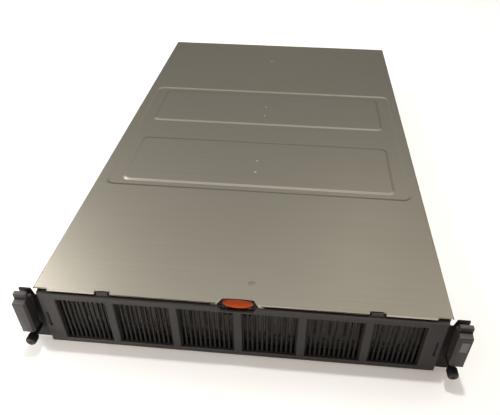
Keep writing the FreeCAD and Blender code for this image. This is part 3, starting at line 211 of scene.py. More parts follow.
def painted(name, dark, light, rough, rubbed):
    """Powder coat with a slight orange-peel relief."""
    material, tree, shader = finish(name, Specular_IOR_Level=0.12, Coat_Weight=0.02, Coat_Roughness=0.3)
    place = surface_place(tree)
    peel = clouds(tree, place, scale=420.0, detail=1.0)
    colour = tones(tree, clouds(tree, place, scale=16.0), dark, light, start=0.3, end=0.7)
    wire(tree, shader, Base_Color=worn_edges(tree, colour, rubbed),
         Roughness=values(tree, peel, *rough, start=0.3, end=0.7))
    lift(tree, shader, peel, depth=0.06, strength=0.5)
    return material


def laminate(name):
    """Green circuit board with faint copper runs under the lacquer."""
    material, tree, shader = finish(name, Coat_Weight=0.4, Coat_Roughness=0.2)
    place = surface_place(tree)
    runs = new_node(tree, "ShaderNodeTexBrick", {"offset": 0.37}, Vector=place, Scale=95.0, Mortar_Size=0.09,
                    Brick_Width=1.7, Row_Height=0.3, Color1=(0.012, 0.075, 0.036, 1),
                    Color2=(0.010, 0.058, 0.030, 1), Mortar=(0.030, 0.135, 0.060, 1))
    wire(tree, shader, Base_Color=runs.outputs["Color"],
         Roughness=values(tree, clouds(tree, place, scale=60.0), low=0.3, high=0.45))
    lift(tree, shader, runs.outputs["Fac"], depth=0.03, strength=0.5)
    return material


def lens(name, colour):
    """Tinted lens of a lamp that is off."""
    material, tree, shader = finish(name, Roughness=0.18)
    deep = [0.6 * part for part in colour]
    glass = clouds(tree, surface_place(tree), scale=900.0)
    wire(tree, shader, Base_Color=tones(tree, glass, deep, colour))
    return material


# The finish of each material slot. All but the board's have a dark tone, a light tone and
# a range of roughness.
FINISHES = {
    "cover_steel": rolled_steel("satin_cover_steel", (0.443, 0.408, 0.335), (0.487, 0.449, 0.372),
                                (0.36, 0.40)),
    "case_steel": zinc_sheet("zinc_case_sheet", (0.44, 0.44, 0.43), (0.54, 0.54, 0.53), (0.32, 0.44)),
    "bezel_plastic": moulding("charcoal_bezel", (0.0285, 0.0250, 0.0232), (0.0425, 0.0378, 0.0352),
                              (0.46, 0.6), rubbed=(0.078, 0.071, 0.067), sheen=0.22),
    "grille_plastic": moulding("black_grille", (0.0098, 0.0080, 0.0070), (0.0150, 0.0126, 0.0112),
                               (0.5, 0.65), rubbed=(0.022, 0.019, 0.017), sheen=0.15),
    "button_plastic": moulding("orange_button", (0.34, 0.042, 0.007), (0.43, 0.062, 0.011), (0.38, 0.5),
                               rubbed=(0.52, 0.11, 0.03), sheen=0.2),
    "lever_plastic": moulding("black_lever", (0.0165, 0.0138, 0.0128), (0.0255, 0.0215, 0.0202),
                              (0.36, 0.5), rubbed=(0.082, 0.072, 0.067), sheen=0.28),
    "label_plastic": moulding("grey_blank", (0.115, 0.108, 0.104), (0.145, 0.137, 0.132), (0.5, 0.6),
                              grain=900.0),
    "bracket_paint": painted("black_ear_paint", (0.005, 0.0046, 0.0044), (0.009, 0.0084, 0.008),
                             (0.38, 0.54), rubbed=(0.05, 0.047, 0.045)),
    "knob_metal": rolled_steel("black_knob", (0.018, 0.017, 0.017), (0.034, 0.032, 0.031), (0.32, 0.46),
                               streak=(900, 900, 900), metal=0.6),
    "pin_steel": rolled_steel("ground_pin", (0.46, 0.45, 0.44), (0.60, 0.59, 0.57), (0.22, 0.34),
                              streak=(900, 60, 60)),
    "carrier_plastic": moulding("carrier_grey", (0.165, 0.148, 0.132), (0.215, 0.194, 0.174),
                                (0.45, 0.6), sheen=0.3),
    "drive_metal": zinc_sheet("drive_casting", (0.34, 0.34, 0.35), (0.46, 0.46, 0.47), (0.34, 0.5)),
    "board_laminate": laminate("green_laminate"),
    "sink_aluminium": rolled_steel("sink_aluminium", (0.58, 0.58, 0.59), (0.72, 0.72, 0.73), (0.26, 0.38),
                                   streak=(300, 12, 700)),
    "jack_metal": rolled_steel("tinned_shell", (0.52, 0.52, 0.51), (0.66, 0.66, 0.64), (0.22, 0.34),
                               streak=(40, 40, 700)),
    "fan_plastic": moulding("fan_black", (0.016, 0.016, 0.017), (0.026, 0.026, 0.027), (0.36, 0.5)),
    "supply_plastic": moulding("supply_black", (0.018, 0.018, 0.018), (0.028, 0.028, 0.028), (0.38, 0.52)),
    "latch_plastic": moulding("green_latch", (0.045, 0.16, 0.10), (0.06, 0.20, 0.125), (0.36, 0.48)),
}
SCREW_STEEL = rolled_steel("screw_steel", (0.38, 0.37, 0.35), (0.56, 0.55, 0.52), (0.24, 0.38),
                           streak=(500, 500, 500))
# A pale grey for the pads on the lever's steps: a painted highlight where the steps catch the light.
TREAD_HIGHLIGHT_PAINT = moulding("painted_tread_highlight", (0.082, 0.072, 0.067), (0.118, 0.105, 0.099), (0.42, 0.56),
                       grain=900.0, sheen=0.35)
BLACK_SCREW = rolled_steel("black_screw", (0.03, 0.03, 0.03), (0.06, 0.058, 0.055), (0.3, 0.42),
                           streak=(500, 500, 500), metal=0.7)
# Near-black spring steel: blued, and darker still as painted shade in the pouch under the release button.
SPRING_IN_PAINTED_SHADE = rolled_steel("blued_spring_painted_shade", (0.018, 0.019, 0.022), (0.034, 0.036, 0.041), (0.34, 0.46),
                            streak=(60, 900, 900))
CONTACT_GOLD = rolled_steel("contact_gold", (0.68, 0.46, 0.16), (0.84, 0.60, 0.25), (0.2, 0.32),
                            streak=(700, 90, 700))
CHIP_RESIN = moulding("chip_resin", (0.012, 0.012, 0.013), (0.022, 0.022, 0.023), (0.4, 0.55),
                      grain=2600.0)
CAN_METAL = rolled_steel("can_metal", (0.50, 0.50, 0.52), (0.66, 0.66, 0.68), (0.24, 0.36),
                         streak=(90, 90, 900))
# Near black for the carriers' air holes: painted shade for the dark inside of each hole.
VENT_PAINTED_SHADE = moulding("vent_painted_shade", (0.004, 0.004, 0.004), (0.008, 0.008, 0.008), (0.6, 0.8), grain=600.0)
GREEN_LENS = lens("green_lens", (0.02, 0.08, 0.03))
AMBER_LENS = lens("amber_lens", (0.10, 0.05, 0.012))
LAMPS = (("green", -1, GREEN_LENS), ("amber", 1, AMBER_LENS))

for name, node in NODES.items():
    node.data.materials.clear()
    node.data.materials.append(FINISHES[SLOT_OF[name]])
# The button's spring is near black: blued steel, darkened further as painted shade for the pouch under the
# button.
NODES["button_spring"].data.materials[0] = SPRING_IN_PAINTED_SHADE


# Meshes and pieces

MERGE_GAP, FLAT_ANGLE, EASE_ANGLE = 0.001, math.radians(0.5), math.radians(38)


def into_scene(name, data):
    """A new object in the scene."""
    item = bpy.data.objects.new(name, data)
    bpy.context.scene.collection.objects.link(item)
    return item


def mesh_of(shape):
    """A drawn shape as a mesh."""
    mesh = bpy.data.meshes.new("drawn")
    shape.to_mesh(mesh)
    shape.free()
    return mesh


def settled(carrier):
    """The mesh that an object's modifiers give. The object goes."""
    graph = bpy.context.evaluated_depsgraph_get()
    mesh = bpy.data.meshes.new_from_object(carrier.evaluated_get(graph))
    bpy.data.objects.remove(carrier)
    return mesh


def with_modifier(mesh, kind, **options):
    carrier = into_scene("bench", mesh)
    modifier = carrier.modifiers.new(kind.lower(), kind)
    for key, value in options.items():
        setattr(modifier, key, value)
    return settled(carrier)


def joined(*meshes):
    """Several meshes as one."""
    whole = bmesh.new()
    for mesh in meshes:
        whole.from_mesh(mesh)
    return mesh_of(whole)


def moved(mesh, place):
    mesh.transform(Matrix.Translation(place))
    return mesh


def bridge(shape, loops):
    """Faces between each closed loop of points and the next."""
    for first, second in zip(loops, loops[1:]):
        for index in range(len(first)):
            after = (index + 1) % len(first)
            shape.faces.new((first[index], first[after], second[after], second[index]))


def face_outwards(shape):
    bmesh.ops.recalc_face_normals(shape, faces=shape.faces)


def round_edges(shape, width):
    bmesh.ops.bevel(shape, geom=shape.edges[:], offset=metres(width), segments=2, profile=0.5,
                    affect="EDGES")


def lathe(outline, steps=48):
    """A closed shape turned round the Y axis, from points of radius and distance back."""
    shape = bmesh.new()
    ring = [shape.verts.new((radius / 1000, back / 1000, 0)) for radius, back in outline]
    edges = [shape.edges.new(pair) for pair in zip(ring, ring[1:])]
    bmesh.ops.spin(shape, geom=ring + edges, cent=(0, 0, 0), axis=(0, 1, 0), angle=math.tau, steps=steps,
                   use_merge=True)
    bmesh.ops.remove_doubles(shape, verts=shape.verts, dist=metres(MERGE_GAP))
    face_outwards(shape)
    return mesh_of(shape)


def rounded_shading(mesh, angle=32):
    """Smooth faces, with edges sharper than the angle kept crisp."""
    mesh.polygons.foreach_set("use_smooth", [True] * len(mesh.polygons))
    mesh.set_sharp_from_angle(angle=math.radians(angle))
    return mesh


def flat_lit(mesh, angle=60):
    """Smooth faces whose large flats keep their own direction."""
    return with_modifier(rounded_shading(mesh, angle), "WEIGHTED_NORMAL", keep_sharp=True)


def piece(name, mesh, body, slot, *replaced, material=None):
    """Enter a finished mesh as a piece that rides on a body."""
    item = into_scene(name, mesh)
    mesh.materials.clear()
    mesh.materials.append(material or FINISHES[slot])
    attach(item, body)
    if replaced:
        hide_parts(*replaced)


def instead(node, ending, mesh):
    """Enter a finished mesh in place of a node, on its body and in its slot."""
    piece(f"{node}_{ending}", mesh, BODY_OF[node], SLOT_OF[node], node)


def plain_copy(node):
    """A merged copy of a node's mesh, with flat regions joined."""
    sheet = bmesh.new()
    sheet.from_mesh(NODES[node].data)
    bmesh.ops.remove_doubles(sheet, verts=sheet.verts, dist=metres(MERGE_GAP))
    bmesh.ops.dissolve_limit(sheet, angle_limit=FLAT_ANGLE, verts=sheet.verts, edges=sheet.edges)
    return mesh_of(sheet)


def eased(node, width, segments=2):
    """The node's own shape with its edges eased, in place of the node."""
    mesh = with_modifier(plain_copy(node), "BEVEL", width=metres(width), segments=segments,
                         limit_method="ANGLE", angle_limit=EASE_ANGLE)
    instead(node, "eased", flat_lit(mesh))


# Trees for small parts that repeat

# Shares of a screw head's radius and height, and of a knob's radius.
HEAD_TAPER, RECESS_LENGTH, RECESS_WIDTH, RECESS_RISE = 0.74, 1.1, 0.24, 0.75
KNOB_EASE, KNOB_EASE_POWER = 0.12, 9.0


def node_tree(name, **sizes):
    """A geometry tree with named sizes, and its inputs by name."""
    tree = bpy.data.node_groups.new(name, "GeometryNodeTree")
    tree.interface.new_socket("Geometry", in_out="OUTPUT", socket_type="NodeSocketGeometry")
    for label, kind in {"Geometry": "Geometry", **sizes, "Finish": "Material"}.items():
        tree.interface.new_socket(label, in_out="INPUT", socket_type="NodeSocket" + kind)
    return tree, tree.nodes.new("NodeGroupInput").outputs


def vector_step(tree, **parts):
    return step(tree, "ShaderNodeCombineXYZ", **parts)


def shifted(tree, shape, shift):
    return step(tree, "GeometryNodeTransform", Geometry=shape, Translation=shift)


def together(tree, *shapes):
    union = tree.nodes.new("GeometryNodeJoinGeometry")
    for shape in shapes:
        tree.links.new(shape, union.inputs[0])
    return union.outputs[0]


def on_spots(tree, inputs, shape):
    """End a tree with the shape at every spot, its own up turned to the spot's aim, in the finish."""
    aim = step(tree, "GeometryNodeInputNamedAttribute", {"data_type": "FLOAT_VECTOR"}, Name="aim")
    turn = step(tree, "FunctionNodeAlignRotationToVector", {"axis": "Z"}, Vector=aim)
    placed = step(tree, "GeometryNodeInstanceOnPoints", Points=inputs["Geometry"], Instance=shape,
                  Rotation=turn)
    plain = step(tree, "GeometryNodeRealizeInstances", Geometry=placed)
    coloured = step(tree, "GeometryNodeSetMaterial", Geometry=plain, Material=inputs["Finish"])
    new_node(tree, "NodeGroupOutput", n0=coloured)
    return tree


def screw_tree():
    """Screw heads with a cross recess."""
    tree, inputs = node_tree("screw_heads", Radius="Float", Height="Float")
    radius, height = inputs["Radius"], inputs["Height"]
    head = step(tree, "GeometryNodeMeshCone", {"fill_type": "NGON"}, Vertices=20, Depth=height,
                Radius_Top=times(tree, radius, HEAD_TAPER), Radius_Bottom=radius)
    long, thin = times(tree, radius, RECESS_LENGTH), times(tree, radius, RECESS_WIDTH)
    raised = vector_step(tree, Z=times(tree, height, RECESS_RISE))
    carve = new_node(tree, "GeometryNodeMeshBoolean", {"operation": "DIFFERENCE"}, n0=head)
    for across, along in ((long, thin), (thin, long)):
        arm = step(tree, "GeometryNodeMeshCube", Size=vector_step(tree, X=across, Y=along, Z=height))
        tree.links.new(shifted(tree, arm, raised), carve.inputs[1])
    return on_spots(tree, inputs, carve.outputs[0])


def button_tree():
    """Low round buttons with a chamfered rim: cans and lamp lenses."""
    tree, inputs = node_tree("round_buttons", Radius="Float", Height="Float", Rim="Float")
    radius, rim = inputs["Radius"], inputs["Rim"]
    wall = math_step(tree, "SUBTRACT", inputs["Height"], rim)
    drum = step(tree, "GeometryNodeMeshCylinder", {"fill_type": "NGON"}, Vertices=20, Radius=radius,
                Depth=wall)
    drum = shifted(tree, drum, vector_step(tree, Z=math_step(tree, "DIVIDE", wall, 2.0)))
    cap = step(tree, "GeometryNodeMeshCone", {"fill_type": "NGON"}, Vertices=20, Depth=rim,
               Radius_Bottom=radius, Radius_Top=math_step(tree, "SUBTRACT", radius, rim))
    cap = shifted(tree, cap, vector_step(tree, Z=wall))
    return on_spots(tree, inputs, together(tree, drum, cap))


def tile_tree():
    """Flat blocks with a raised, narrower top: chips, contacts and vents."""
    tree, inputs = node_tree("tiles", Size="Vector", Inset="Float")
    width, depth, height = new_node(tree, "ShaderNodeSeparateXYZ", Vector=inputs["Size"]).outputs
    half = times(tree, height, 0.5)
    blocks = []
    for narrower, level in ((0.0, 0.5), (2.0, 1.5)):
        less = times(tree, inputs["Inset"], narrower)
        size = vector_step(tree, X=math_step(tree, "SUBTRACT", width, less),
                           Y=math_step(tree, "SUBTRACT", depth, less), Z=half)
        block = step(tree, "GeometryNodeMeshCube", Size=size)
        blocks.append(shifted(tree, block, vector_step(tree, Z=times(tree, half, level))))
    return on_spots(tree, inputs, together(tree, *blocks))


def knob_tree():
    """Knurled drums with eased ends."""
    tree, inputs = node_tree("knurled_knob", Radius="Float", Length="Float", Ridge_depth="Float",
                             Ridges="Int")
    radius, length = inputs["Radius"], inputs["Length"]
    drum = step(tree, "GeometryNodeMeshCylinder", {"fill_type": "NGON"}, Vertices=120, Side_Segments=6,
                Radius=radius, Depth=length)
    place = step(tree, "GeometryNodeInputPosition")
    x, y, z = new_node(tree, "ShaderNodeSeparateXYZ", Vector=place).outputs
    angle = math_step(tree, "ARCTAN2", y, x)
    wave = math_step(tree, "COSINE", times(tree, angle, inputs["Ridges"]))
    groove = times(tree, math_step(tree, "SUBTRACT", wave, 1.0), inputs["Ridge_depth"])
    share = math_step(tree, "DIVIDE", math_step(tree, "ABSOLUTE", z), length)
    near_end = math_step(tree, "POWER", times(tree, share, 2.0), KNOB_EASE_POWER)
    ease = times(tree, near_end, times(tree, radius, -KNOB_EASE))
    inward = math_step(tree, "DIVIDE", math_step(tree, "ADD", groove, ease), radius)
    shift = step(tree, "ShaderNodeVectorMath", {"operation": "SCALE"}, Vector=vector_step(tree, X=x, Y=y),
                 Scale=inward)
    return on_spots(tree, inputs, step(tree, "GeometryNodeSetPosition", Geometry=drum, Offset=shift))


def slat_tree():
    """Rows of upright slats with rounded corners."""
    tree, inputs = node_tree("slat_row", Slat="Vector", Round="Float", Pitch="Float", Count="Int")
    width, depth, height = new_node(tree, "ShaderNodeSeparateXYZ", Vector=inputs["Slat"]).outputs
    foot, head = (vector_step(tree, Z=times(tree, height, share)) for share in (-0.5, 0.5))
    path = step(tree, "GeometryNodeCurvePrimitiveLine", Start=foot, End=head)
    outline = step(tree, "GeometryNodeCurvePrimitiveQuadrilateral", Width=width, Height=depth)
    outline = step(tree, "GeometryNodeFilletCurve", {"mode": "POLY"}, Curve=outline, Count=3,
                   Radius=inputs["Round"])
    slat = step(tree, "GeometryNodeCurveToMesh", Curve=path, Profile_Curve=outline, Fill_Caps=True)
    span = times(tree, math_step(tree, "SUBTRACT", inputs["Count"], 1.0), inputs["Pitch"])
    line = step(tree, "GeometryNodeMeshLine", Count=inputs["Count"],
                Start_Location=vector_step(tree, X=times(tree, span, -0.5)),
                Offset=vector_step(tree, X=inputs["Pitch"]))
    return on_spots(tree, inputs, step(tree, "GeometryNodeInstanceOnPoints", Points=line, Instance=slat))


TREES = {"screw": screw_tree(), "button": button_tree(), "tile": tile_tree(), "knob": knob_tree(),
         "slat": slat_tree()}


def grown(tree_name, spots, material, **sizes):
    """A mesh from a tree. Each spot is a point and the direction that it faces."""
    seeds = bpy.data.meshes.new("spots")
    seeds.from_pydata([point for point, aim in spots], [], [])
    facing = seeds.attributes.new("aim", "FLOAT_VECTOR", "POINT")
    for index, (point, aim) in enumerate(spots):
        facing.data[index].vector = aim
    carrier = into_scene("spots", seeds)
    modifier = carrier.modifiers.new("grow", "NODES")
    modifier.node_group = TREES[tree_name]
    for item in modifier.node_group.interface.items_tree:
        if item.name == "Finish":
            modifier[item.identifier] = material
        elif item.name in sizes:
            size = sizes[item.name]
            modifier[item.identifier] = size if item.socket_type == "NodeSocketInt" else metres(size)
    return rounded_shading(settled(carrier))


def fitted(name, body, slot, material, tree_name, spots, **sizes):
    """Enter small parts grown on their spots as one piece."""
    piece(name, grown(tree_name, spots, material, **sizes), body, slot, material=material)


# Cover

COVER_TOP, COVER_SHEET = 87.4, 1.2
STAMP_DEPTH, STAMP_EASE, STAMP_ROUND, STAMP_PLAY = 1.6, 0.4, 1.7, 0.01
STAMP_SLOPE_LOW, STAMP_SLOPE_HIGH = math.radians(20), math.radians(45)
COVER_SCREWS = ((11.9, 30.8), (-7.0, 650.6))
COUNTERSINK_LOW, COUNTERSINK_HIGH, COUNTERSINK_DEPTH = 4.0, 5.0, 1.8
SCREW_SINK = 0.9
DIMPLE_X, DIMPLE_Y = -5.0, (245.0, 274.0, 413.6, 446.0)
DIMPLE_RADIUS, DIMPLE_RAISE = 4.2, 3.4


def softer_stamping():
    """A copy of the cover whose stamping is less deep and has rounder edges."""
    sheet = bmesh.new()
    sheet.from_mesh(plain_copy("top_cover"))
    stamped = [edge for edge in sheet.edges if len(edge.link_faces) == 2
               and STAMP_SLOPE_LOW < edge.calc_face_angle() < STAMP_SLOPE_HIGH]
    for vert in sheet.verts:
        for surface in (COVER_TOP, COVER_TOP - COVER_SHEET):
            drop = surface - 1000 * vert.co.z
            if min(abs(drop - STAMP_DEPTH), abs(drop - STAMP_DEPTH / 2)) < STAMP_PLAY:
                vert.co.z += STAMP_EASE * drop / 1000
    bmesh.ops.bevel(sheet, geom=stamped, offset=metres(STAMP_ROUND), segments=4, profile=0.5,
                    affect="EDGES", clamp_overlap=True)
    return mesh_of(sheet)


def cover_cutter():
    """What is cut from the cover: countersinks for its screws and small dimples."""
    tool = bmesh.new()
    for x, y in COVER_SCREWS:
        bmesh.ops.create_cone(tool, cap_ends=True, segments=40, radius1=metres(COUNTERSINK_LOW),
                              radius2=metres(COUNTERSINK_HIGH), depth=metres(COUNTERSINK_DEPTH),
                              matrix=Matrix.Translation(at(x, y, COVER_TOP)))
    for y in DIMPLE_Y:
        bmesh.ops.create_uvsphere(tool, u_segments=40, v_segments=30, radius=metres(DIMPLE_RADIUS),
                                  matrix=Matrix.Translation(at(DIMPLE_X, y, COVER_TOP + DIMPLE_RAISE)))
    return into_scene("cutter", mesh_of(tool))


cutter = cover_cutter()
carved = with_modifier(softer_stamping(), "BOOLEAN", operation="DIFFERENCE", solver="EXACT", object=cutter)
bpy.data.objects.remove(cutter)
piece("cover_sheet", flat_lit(carved, angle=50), "cover", "cover_steel", "top_cover")
spots = [(at(x, y, COVER_TOP - SCREW_SINK), UP) for x, y in COVER_SCREWS]
fitted("cover_screws", "cover", "cover_steel", FINISHES["cover_steel"], "screw", spots, Radius=3.7,
       Height=0.8)

# Front: bezel and release button

eased("bezel_frame", 0.4)

BUTTON_HALF = 16.6
BUTTON_CORE = Vector((0, 4.6, 83.2))
BUTTON_LIP, BUTTON_CREST = Vector((0, -0.3, 81.8)), Vector((0, 5.3, 86.9))
BUTTON_DIP = Vector((0, 1.48, -1.63))
BUTTON_UNDER = [Vector((0, y, z)) for y, z in ((5.3, 77.6), (3.4, 77.6), (3.4, 80.4), (-0.3, 81.0))]
BUTTON_TURNS = [math.radians(turn) for turn in range(-86, 87, 4)]
SCOOP_SHARES = (0, 0.12, 0.25, 0.4, 0.55, 0.7, 0.85, 1)
STEM_MIDDLE, STEM_SIZE, STEM_ROUND = (0, 6.3, 77.0), (22.0, 3.4, 14.0), 0.4


def button_head():
    """A scooped face that narrows to both ends like a lens."""
    scoop = [BUTTON_LIP.lerp(BUTTON_CREST, share) + 4 * share * (1 - share) * BUTTON_DIP
             for share in SCOOP_SHARES]
    shape = bmesh.new()
    loops = []
    for turn in BUTTON_TURNS:
        middle = BUTTON_CORE + BUTTON_HALF * math.sin(turn) * RIGHT
        section = [middle + math.cos(turn) * (point - BUTTON_CORE) for point in BUTTON_UNDER + scoop]
        loops.append([shape.verts.new(at(*point)) for point in section])
    bridge(shape, loops)
    shape.faces.new(loops[0])
    shape.faces.new(loops[-1])
    face_outwards(shape)
    return mesh_of(shape)


def button_stem():
    """The block behind the face, which presses on the spring."""
    shape = bmesh.new()
    bmesh.ops.create_cube(shape, size=0.001)
    place = Matrix.Translation(at(*STEM_MIDDLE)) @ Matrix.Diagonal((*STEM_SIZE, 1))
    bmesh.ops.transform(shape, matrix=place, verts=shape.verts)
    round_edges(shape, STEM_ROUND)
    return mesh_of(shape)


instead("release_button", "lens", rounded_shading(joined(button_head(), button_stem()), angle=45))

# Front: drive carriers and rack ears

for bay in BAYS:
    eased(f"drive_carriers_{bay}", 0.35)
for side in SIDES:
    eased(f"ear_lever_{side}", 0.6, segments=3)
    eased(f"ear_bracket_{side}", 0.25)
eased("label_plate", 0.15)

TREAD_INNER, TREAD_OUTER, TREAD_HALF, TREAD_ROUND = 228.0, 240.6, 0.5, 0.25
TREADS = (((-14.5, 76.7), (-8.5, 78.0)), ((-7.8, 84.8), (-3.7, 85.3)))


def lever_tread_highlights(side, sign):
    """Thin pale pads on the two steps of a lever's thumb grip, a painted highlight where the steps catch the
    light, each from its front to its rear edge.
    """
    shape = bmesh.new()
    for front, rear in TREADS:
        outline = ((TREAD_INNER, front), (TREAD_OUTER, front), (TREAD_OUTER, rear), (TREAD_INNER, rear))
        under, over = ([shape.verts.new(at(sign * x, y, z + rise)) for x, (y, z) in outline]
                       for rise in (-TREAD_HALF, TREAD_HALF))
        shape.faces.new(under)
        shape.faces.new(over)
        bridge(shape, (under, over))
    face_outwards(shape)
    round_edges(shape, TREAD_ROUND)
    mesh = rounded_shading(mesh_of(shape), angle=50)
    piece(f"lever_tread_highlights_{side}", mesh, f"lever_{side}", "lever_plastic", material=TREAD_HIGHLIGHT_PAINT)


for side, sign in SIDES.items():
    lever_tread_highlights(side, sign)

# Front: grilles

WINDOW_LOW, WINDOW_HIGH, WINDOW_EDGE = 8.2, 72.9, 200
BAR_HALF = 4.5
SLOT_PITCH, SLOT_WIDTH, SLAT_ROUND = 5.4, 3.0, 0.7
GRILLE_FRONT, GRILLE_BACK = 1.0, 4.0
RIM_LAP, RIM_INSET, RIM_ROUND = 2, 1, 0.3


def rim_plate(outer, inner):
    """A flat rim between an outer and an inner rectangle, each given as left, right, low and high."""
    shape = bmesh.new()
    loops = []
    for left, right, low, high in (outer, inner):
        corners = ((left, low), (right, low), (right, high), (left, high))
        for y in (GRILLE_FRONT, GRILLE_BACK):
            loops.append([shape.verts.new(at(x, y, z)) for x, z in corners])
    front_outer, back_outer, front_inner, back_inner = loops
    bridge(shape, (front_outer, front_inner, back_inner, back_outer, front_outer))
    face_outwards(shape)
    return with_modifier(mesh_of(shape), "BEVEL", width=metres(RIM_ROUND), segments=2)


def slatted_grille(bay):
    """One grille: a rim that laps its window, and upright slats across it."""
    left = max((bay - 4) * BAY_PITCH + BAR_HALF, -WINDOW_EDGE)
    right = min((bay - 3) * BAY_PITCH - BAR_HALF, WINDOW_EDGE)
    slots = int((right - left) / SLOT_PITCH)
    slat = SLOT_PITCH - SLOT_WIDTH
    margin = (right - left - slots * SLOT_PITCH + slat) / 2
    low, high = WINDOW_LOW + RIM_INSET, WINDOW_HIGH - RIM_INSET
    rim = rim_plate((left - RIM_LAP, right + RIM_LAP, WINDOW_LOW - RIM_LAP, WINDOW_HIGH + RIM_LAP),
                    (left + margin, right - margin, low, high))
    middle = at((left + right) / 2, (GRILLE_FRONT + GRILLE_BACK) / 2, (low + high) / 2)
    row = grown("slat", [(middle, UP)], FINISHES["grille_plastic"], Round=SLAT_ROUND, Pitch=SLOT_PITCH,
                Slat=(slat, GRILLE_BACK - GRILLE_FRONT, high - low + RIM_INSET), Count=slots - 1)
    instead(f"bezel_grille_{bay}", "slats", flat_lit(joined(rim, row)))


for bay in BAYS:
    slatted_grille(bay)

# Front: thumb screws and ear screws

KNOB_X, KNOB_MIDDLE, KNOB_FACE, KNOB_Z = 232.55, -16.2, -21.4, 21.5
THREAD_ROOT, THREAD_CREST, THREAD_BACK = 2.2, 2.5, spread(6.6, 0.38, 30)
THREAD = [(THREAD_CREST if index % 2 else THREAD_ROOT, back) for index, back in enumerate(THREAD_BACK)]
SHANK = [(0, -11.2), (3.6, -11.2), (3.6, 4.0), (2.1, 4.0), (2.1, 6.5), *THREAD, (1.8, 18.0), (0, 18.0)]
EAR_SIDE, EAR_SCREWS = 223.2, ((26, 18), (26, 58), (60, 38))


def thumb_knob(side, x):
    """Knurled knob, plain collar and neck, threaded stud and a cross recess in front."""
    knurl = grown("knob", [(at(x, KNOB_MIDDLE, KNOB_Z), BACK)], FINISHES["knob_metal"], Radius=6.0,
                  Length=10.4, Ridge_depth=0.25, Ridges=32)
    face = grown("screw", [(at(x, KNOB_FACE, KNOB_Z), FRONT)], FINISHES["knob_metal"], Radius=4.2,
                 Height=0.6)
    shank = moved(lathe(SHANK, steps=32), at(x, 0, KNOB_Z))
    mesh = rounded_shading(joined(knurl, face, shank), angle=40)
    piece(f"thumb_knob_{side}", mesh, f"screw_{side}", "knob_metal", f"thumb_screw_{side}")


for side, sign in SIDES.items():
    thumb_knob(side, sign * KNOB_X)
spots = [(at(sign * EAR_SIDE, y, z), RIGHT * sign) for sign in SIDES.values() for y, z in EAR_SCREWS]
fitted("ear_screws", "chassis", "bracket_paint", BLACK_SCREW, "screw", spots, Radius=3.6, Height=0.9)

# Drive carriers: air holes as near-black tiles, their darkness painted shade; lamps and latch buttons

CARRIER_MARGIN, CARRIER_PITCH, CARRIER_HALF, CARRIER_FACE = 1.2, 17, 8.3, 18.0
CARRIERS = [(bay - 4) * BAY_PITCH + CARRIER_MARGIN + CARRIER_PITCH * index + CARRIER_HALF
            for bay in BAYS for index in range(4)]
VENT_SHIFT, VENT_ROWS = 5.4, spread(27, 4.0, 13)
CARRIER_LAMP_SHIFT, CARRIER_LAMP_Z = 2.6, 21.0
LATCH_BUTTON_FACE, LATCH_BUTTON_Z = 15.6, 13.0

# Each air hole is a thin near-black tile laid on the carrier's face: painted shade in place of the hole's
# dark inside.
spots = [(at(x + VENT_SHIFT, CARRIER_FACE, z), FRONT) for x in CARRIERS for z in VENT_ROWS]
fitted("carrier_vents_painted_shade", "chassis", "carrier_plastic", VENT_PAINTED_SHADE, "tile", spots, Size=(3.4, 2.6, 0.1),
       Inset=0.3)
for label, sign, material in LAMPS:
    spots = [(at(x + sign * CARRIER_LAMP_SHIFT, CARRIER_FACE, CARRIER_LAMP_Z), FRONT) for x in CARRIERS]
    fitted(f"carrier_lamps_{label}", "chassis", "carrier_plastic", material, "button", spots, Radius=0.9,
           Height=0.6, Rim=0.2)
spots = [(at(x, LATCH_BUTTON_FACE, LATCH_BUTTON_Z), FRONT) for x in CARRIERS]
fitted("carrier_buttons", "chassis", "carrier_plastic", FINISHES["label_plastic"], "tile", spots,
       Size=(6.0, 6.0, 0.8), Inset=0.6)

# Fans

FAN_PITCH, FAN_FRONT, FAN_AXIS = 136, 187.2, 42.6
HUB = [(0, 5), (14.4, 5), (15.6, 5.5), (16, 6.6), (16, 31), (3.06, 31), (3.06, 12), (0, 12)]
BLADES, BLADE_ROWS, BLADE_COLUMNS = 5, 8, 7
BLADE_ROOT, BLADE_LENGTH, BLADE_MIDDLE, BLADE_SHEET = 15.4, 20.6, 18, 1.4
ROOT_CHORD, CHORD_GAIN, CAMBER, TWIST_DEPTH = 21, 5, 2.6, 0.95
ROOT_PITCH, PITCH_LOSS, TIP_LEAN = 52, 20, math.radians(14)


def fan_blade(turn):
    """One swept blade between the hub and the duct, as a thin closed sheet."""
    shape = bmesh.new()
    grid = []
    for row in range(BLADE_ROWS + 1):
        share = row / BLADE_ROWS
        radius = BLADE_ROOT + share * BLADE_LENGTH
        chord = ROOT_CHORD + CHORD_GAIN * share
        pitch = math.radians(ROOT_PITCH - PITCH_LOSS * share)
        line = []
        for column in range(BLADE_COLUMNS + 1):
            along = column / BLADE_COLUMNS - 0.5
            camber = CAMBER * (0.25 - along * along)
            across = chord * along * math.cos(pitch) + camber * math.sin(pitch)
            back = BLADE_MIDDLE + chord * along * math.sin(pitch) * TWIST_DEPTH - camber * math.cos(pitch)
            angle = turn + TIP_LEAN * share + across / radius
            point = Vector((radius * math.cos(angle), back, radius * math.sin(angle)))
            line.append(shape.verts.new(point / 1000))
        grid.append(line)
    for near, far in zip(grid, grid[1:]):
        for index in range(BLADE_COLUMNS):
            shape.faces.new((near[index], near[index + 1], far[index + 1], far[index]))
    face_outwards(shape)
    return with_modifier(mesh_of(shape), "SOLIDIFY", thickness=metres(BLADE_SHEET), offset=0.0)


for fan in (1, 2, 3):
    blades = [fan_blade(math.tau * index / BLADES) for index in range(BLADES)]
    rotor = moved(joined(lathe(HUB), *blades), at((fan - 2) * FAN_PITCH, FAN_FRONT, FAN_AXIS))
    instead(f"fan_rotor_{fan}", "swept", rounded_shading(rotor))
eased("fan_frames", 0.4)

# Board: cans, chips, memory and the screws inside

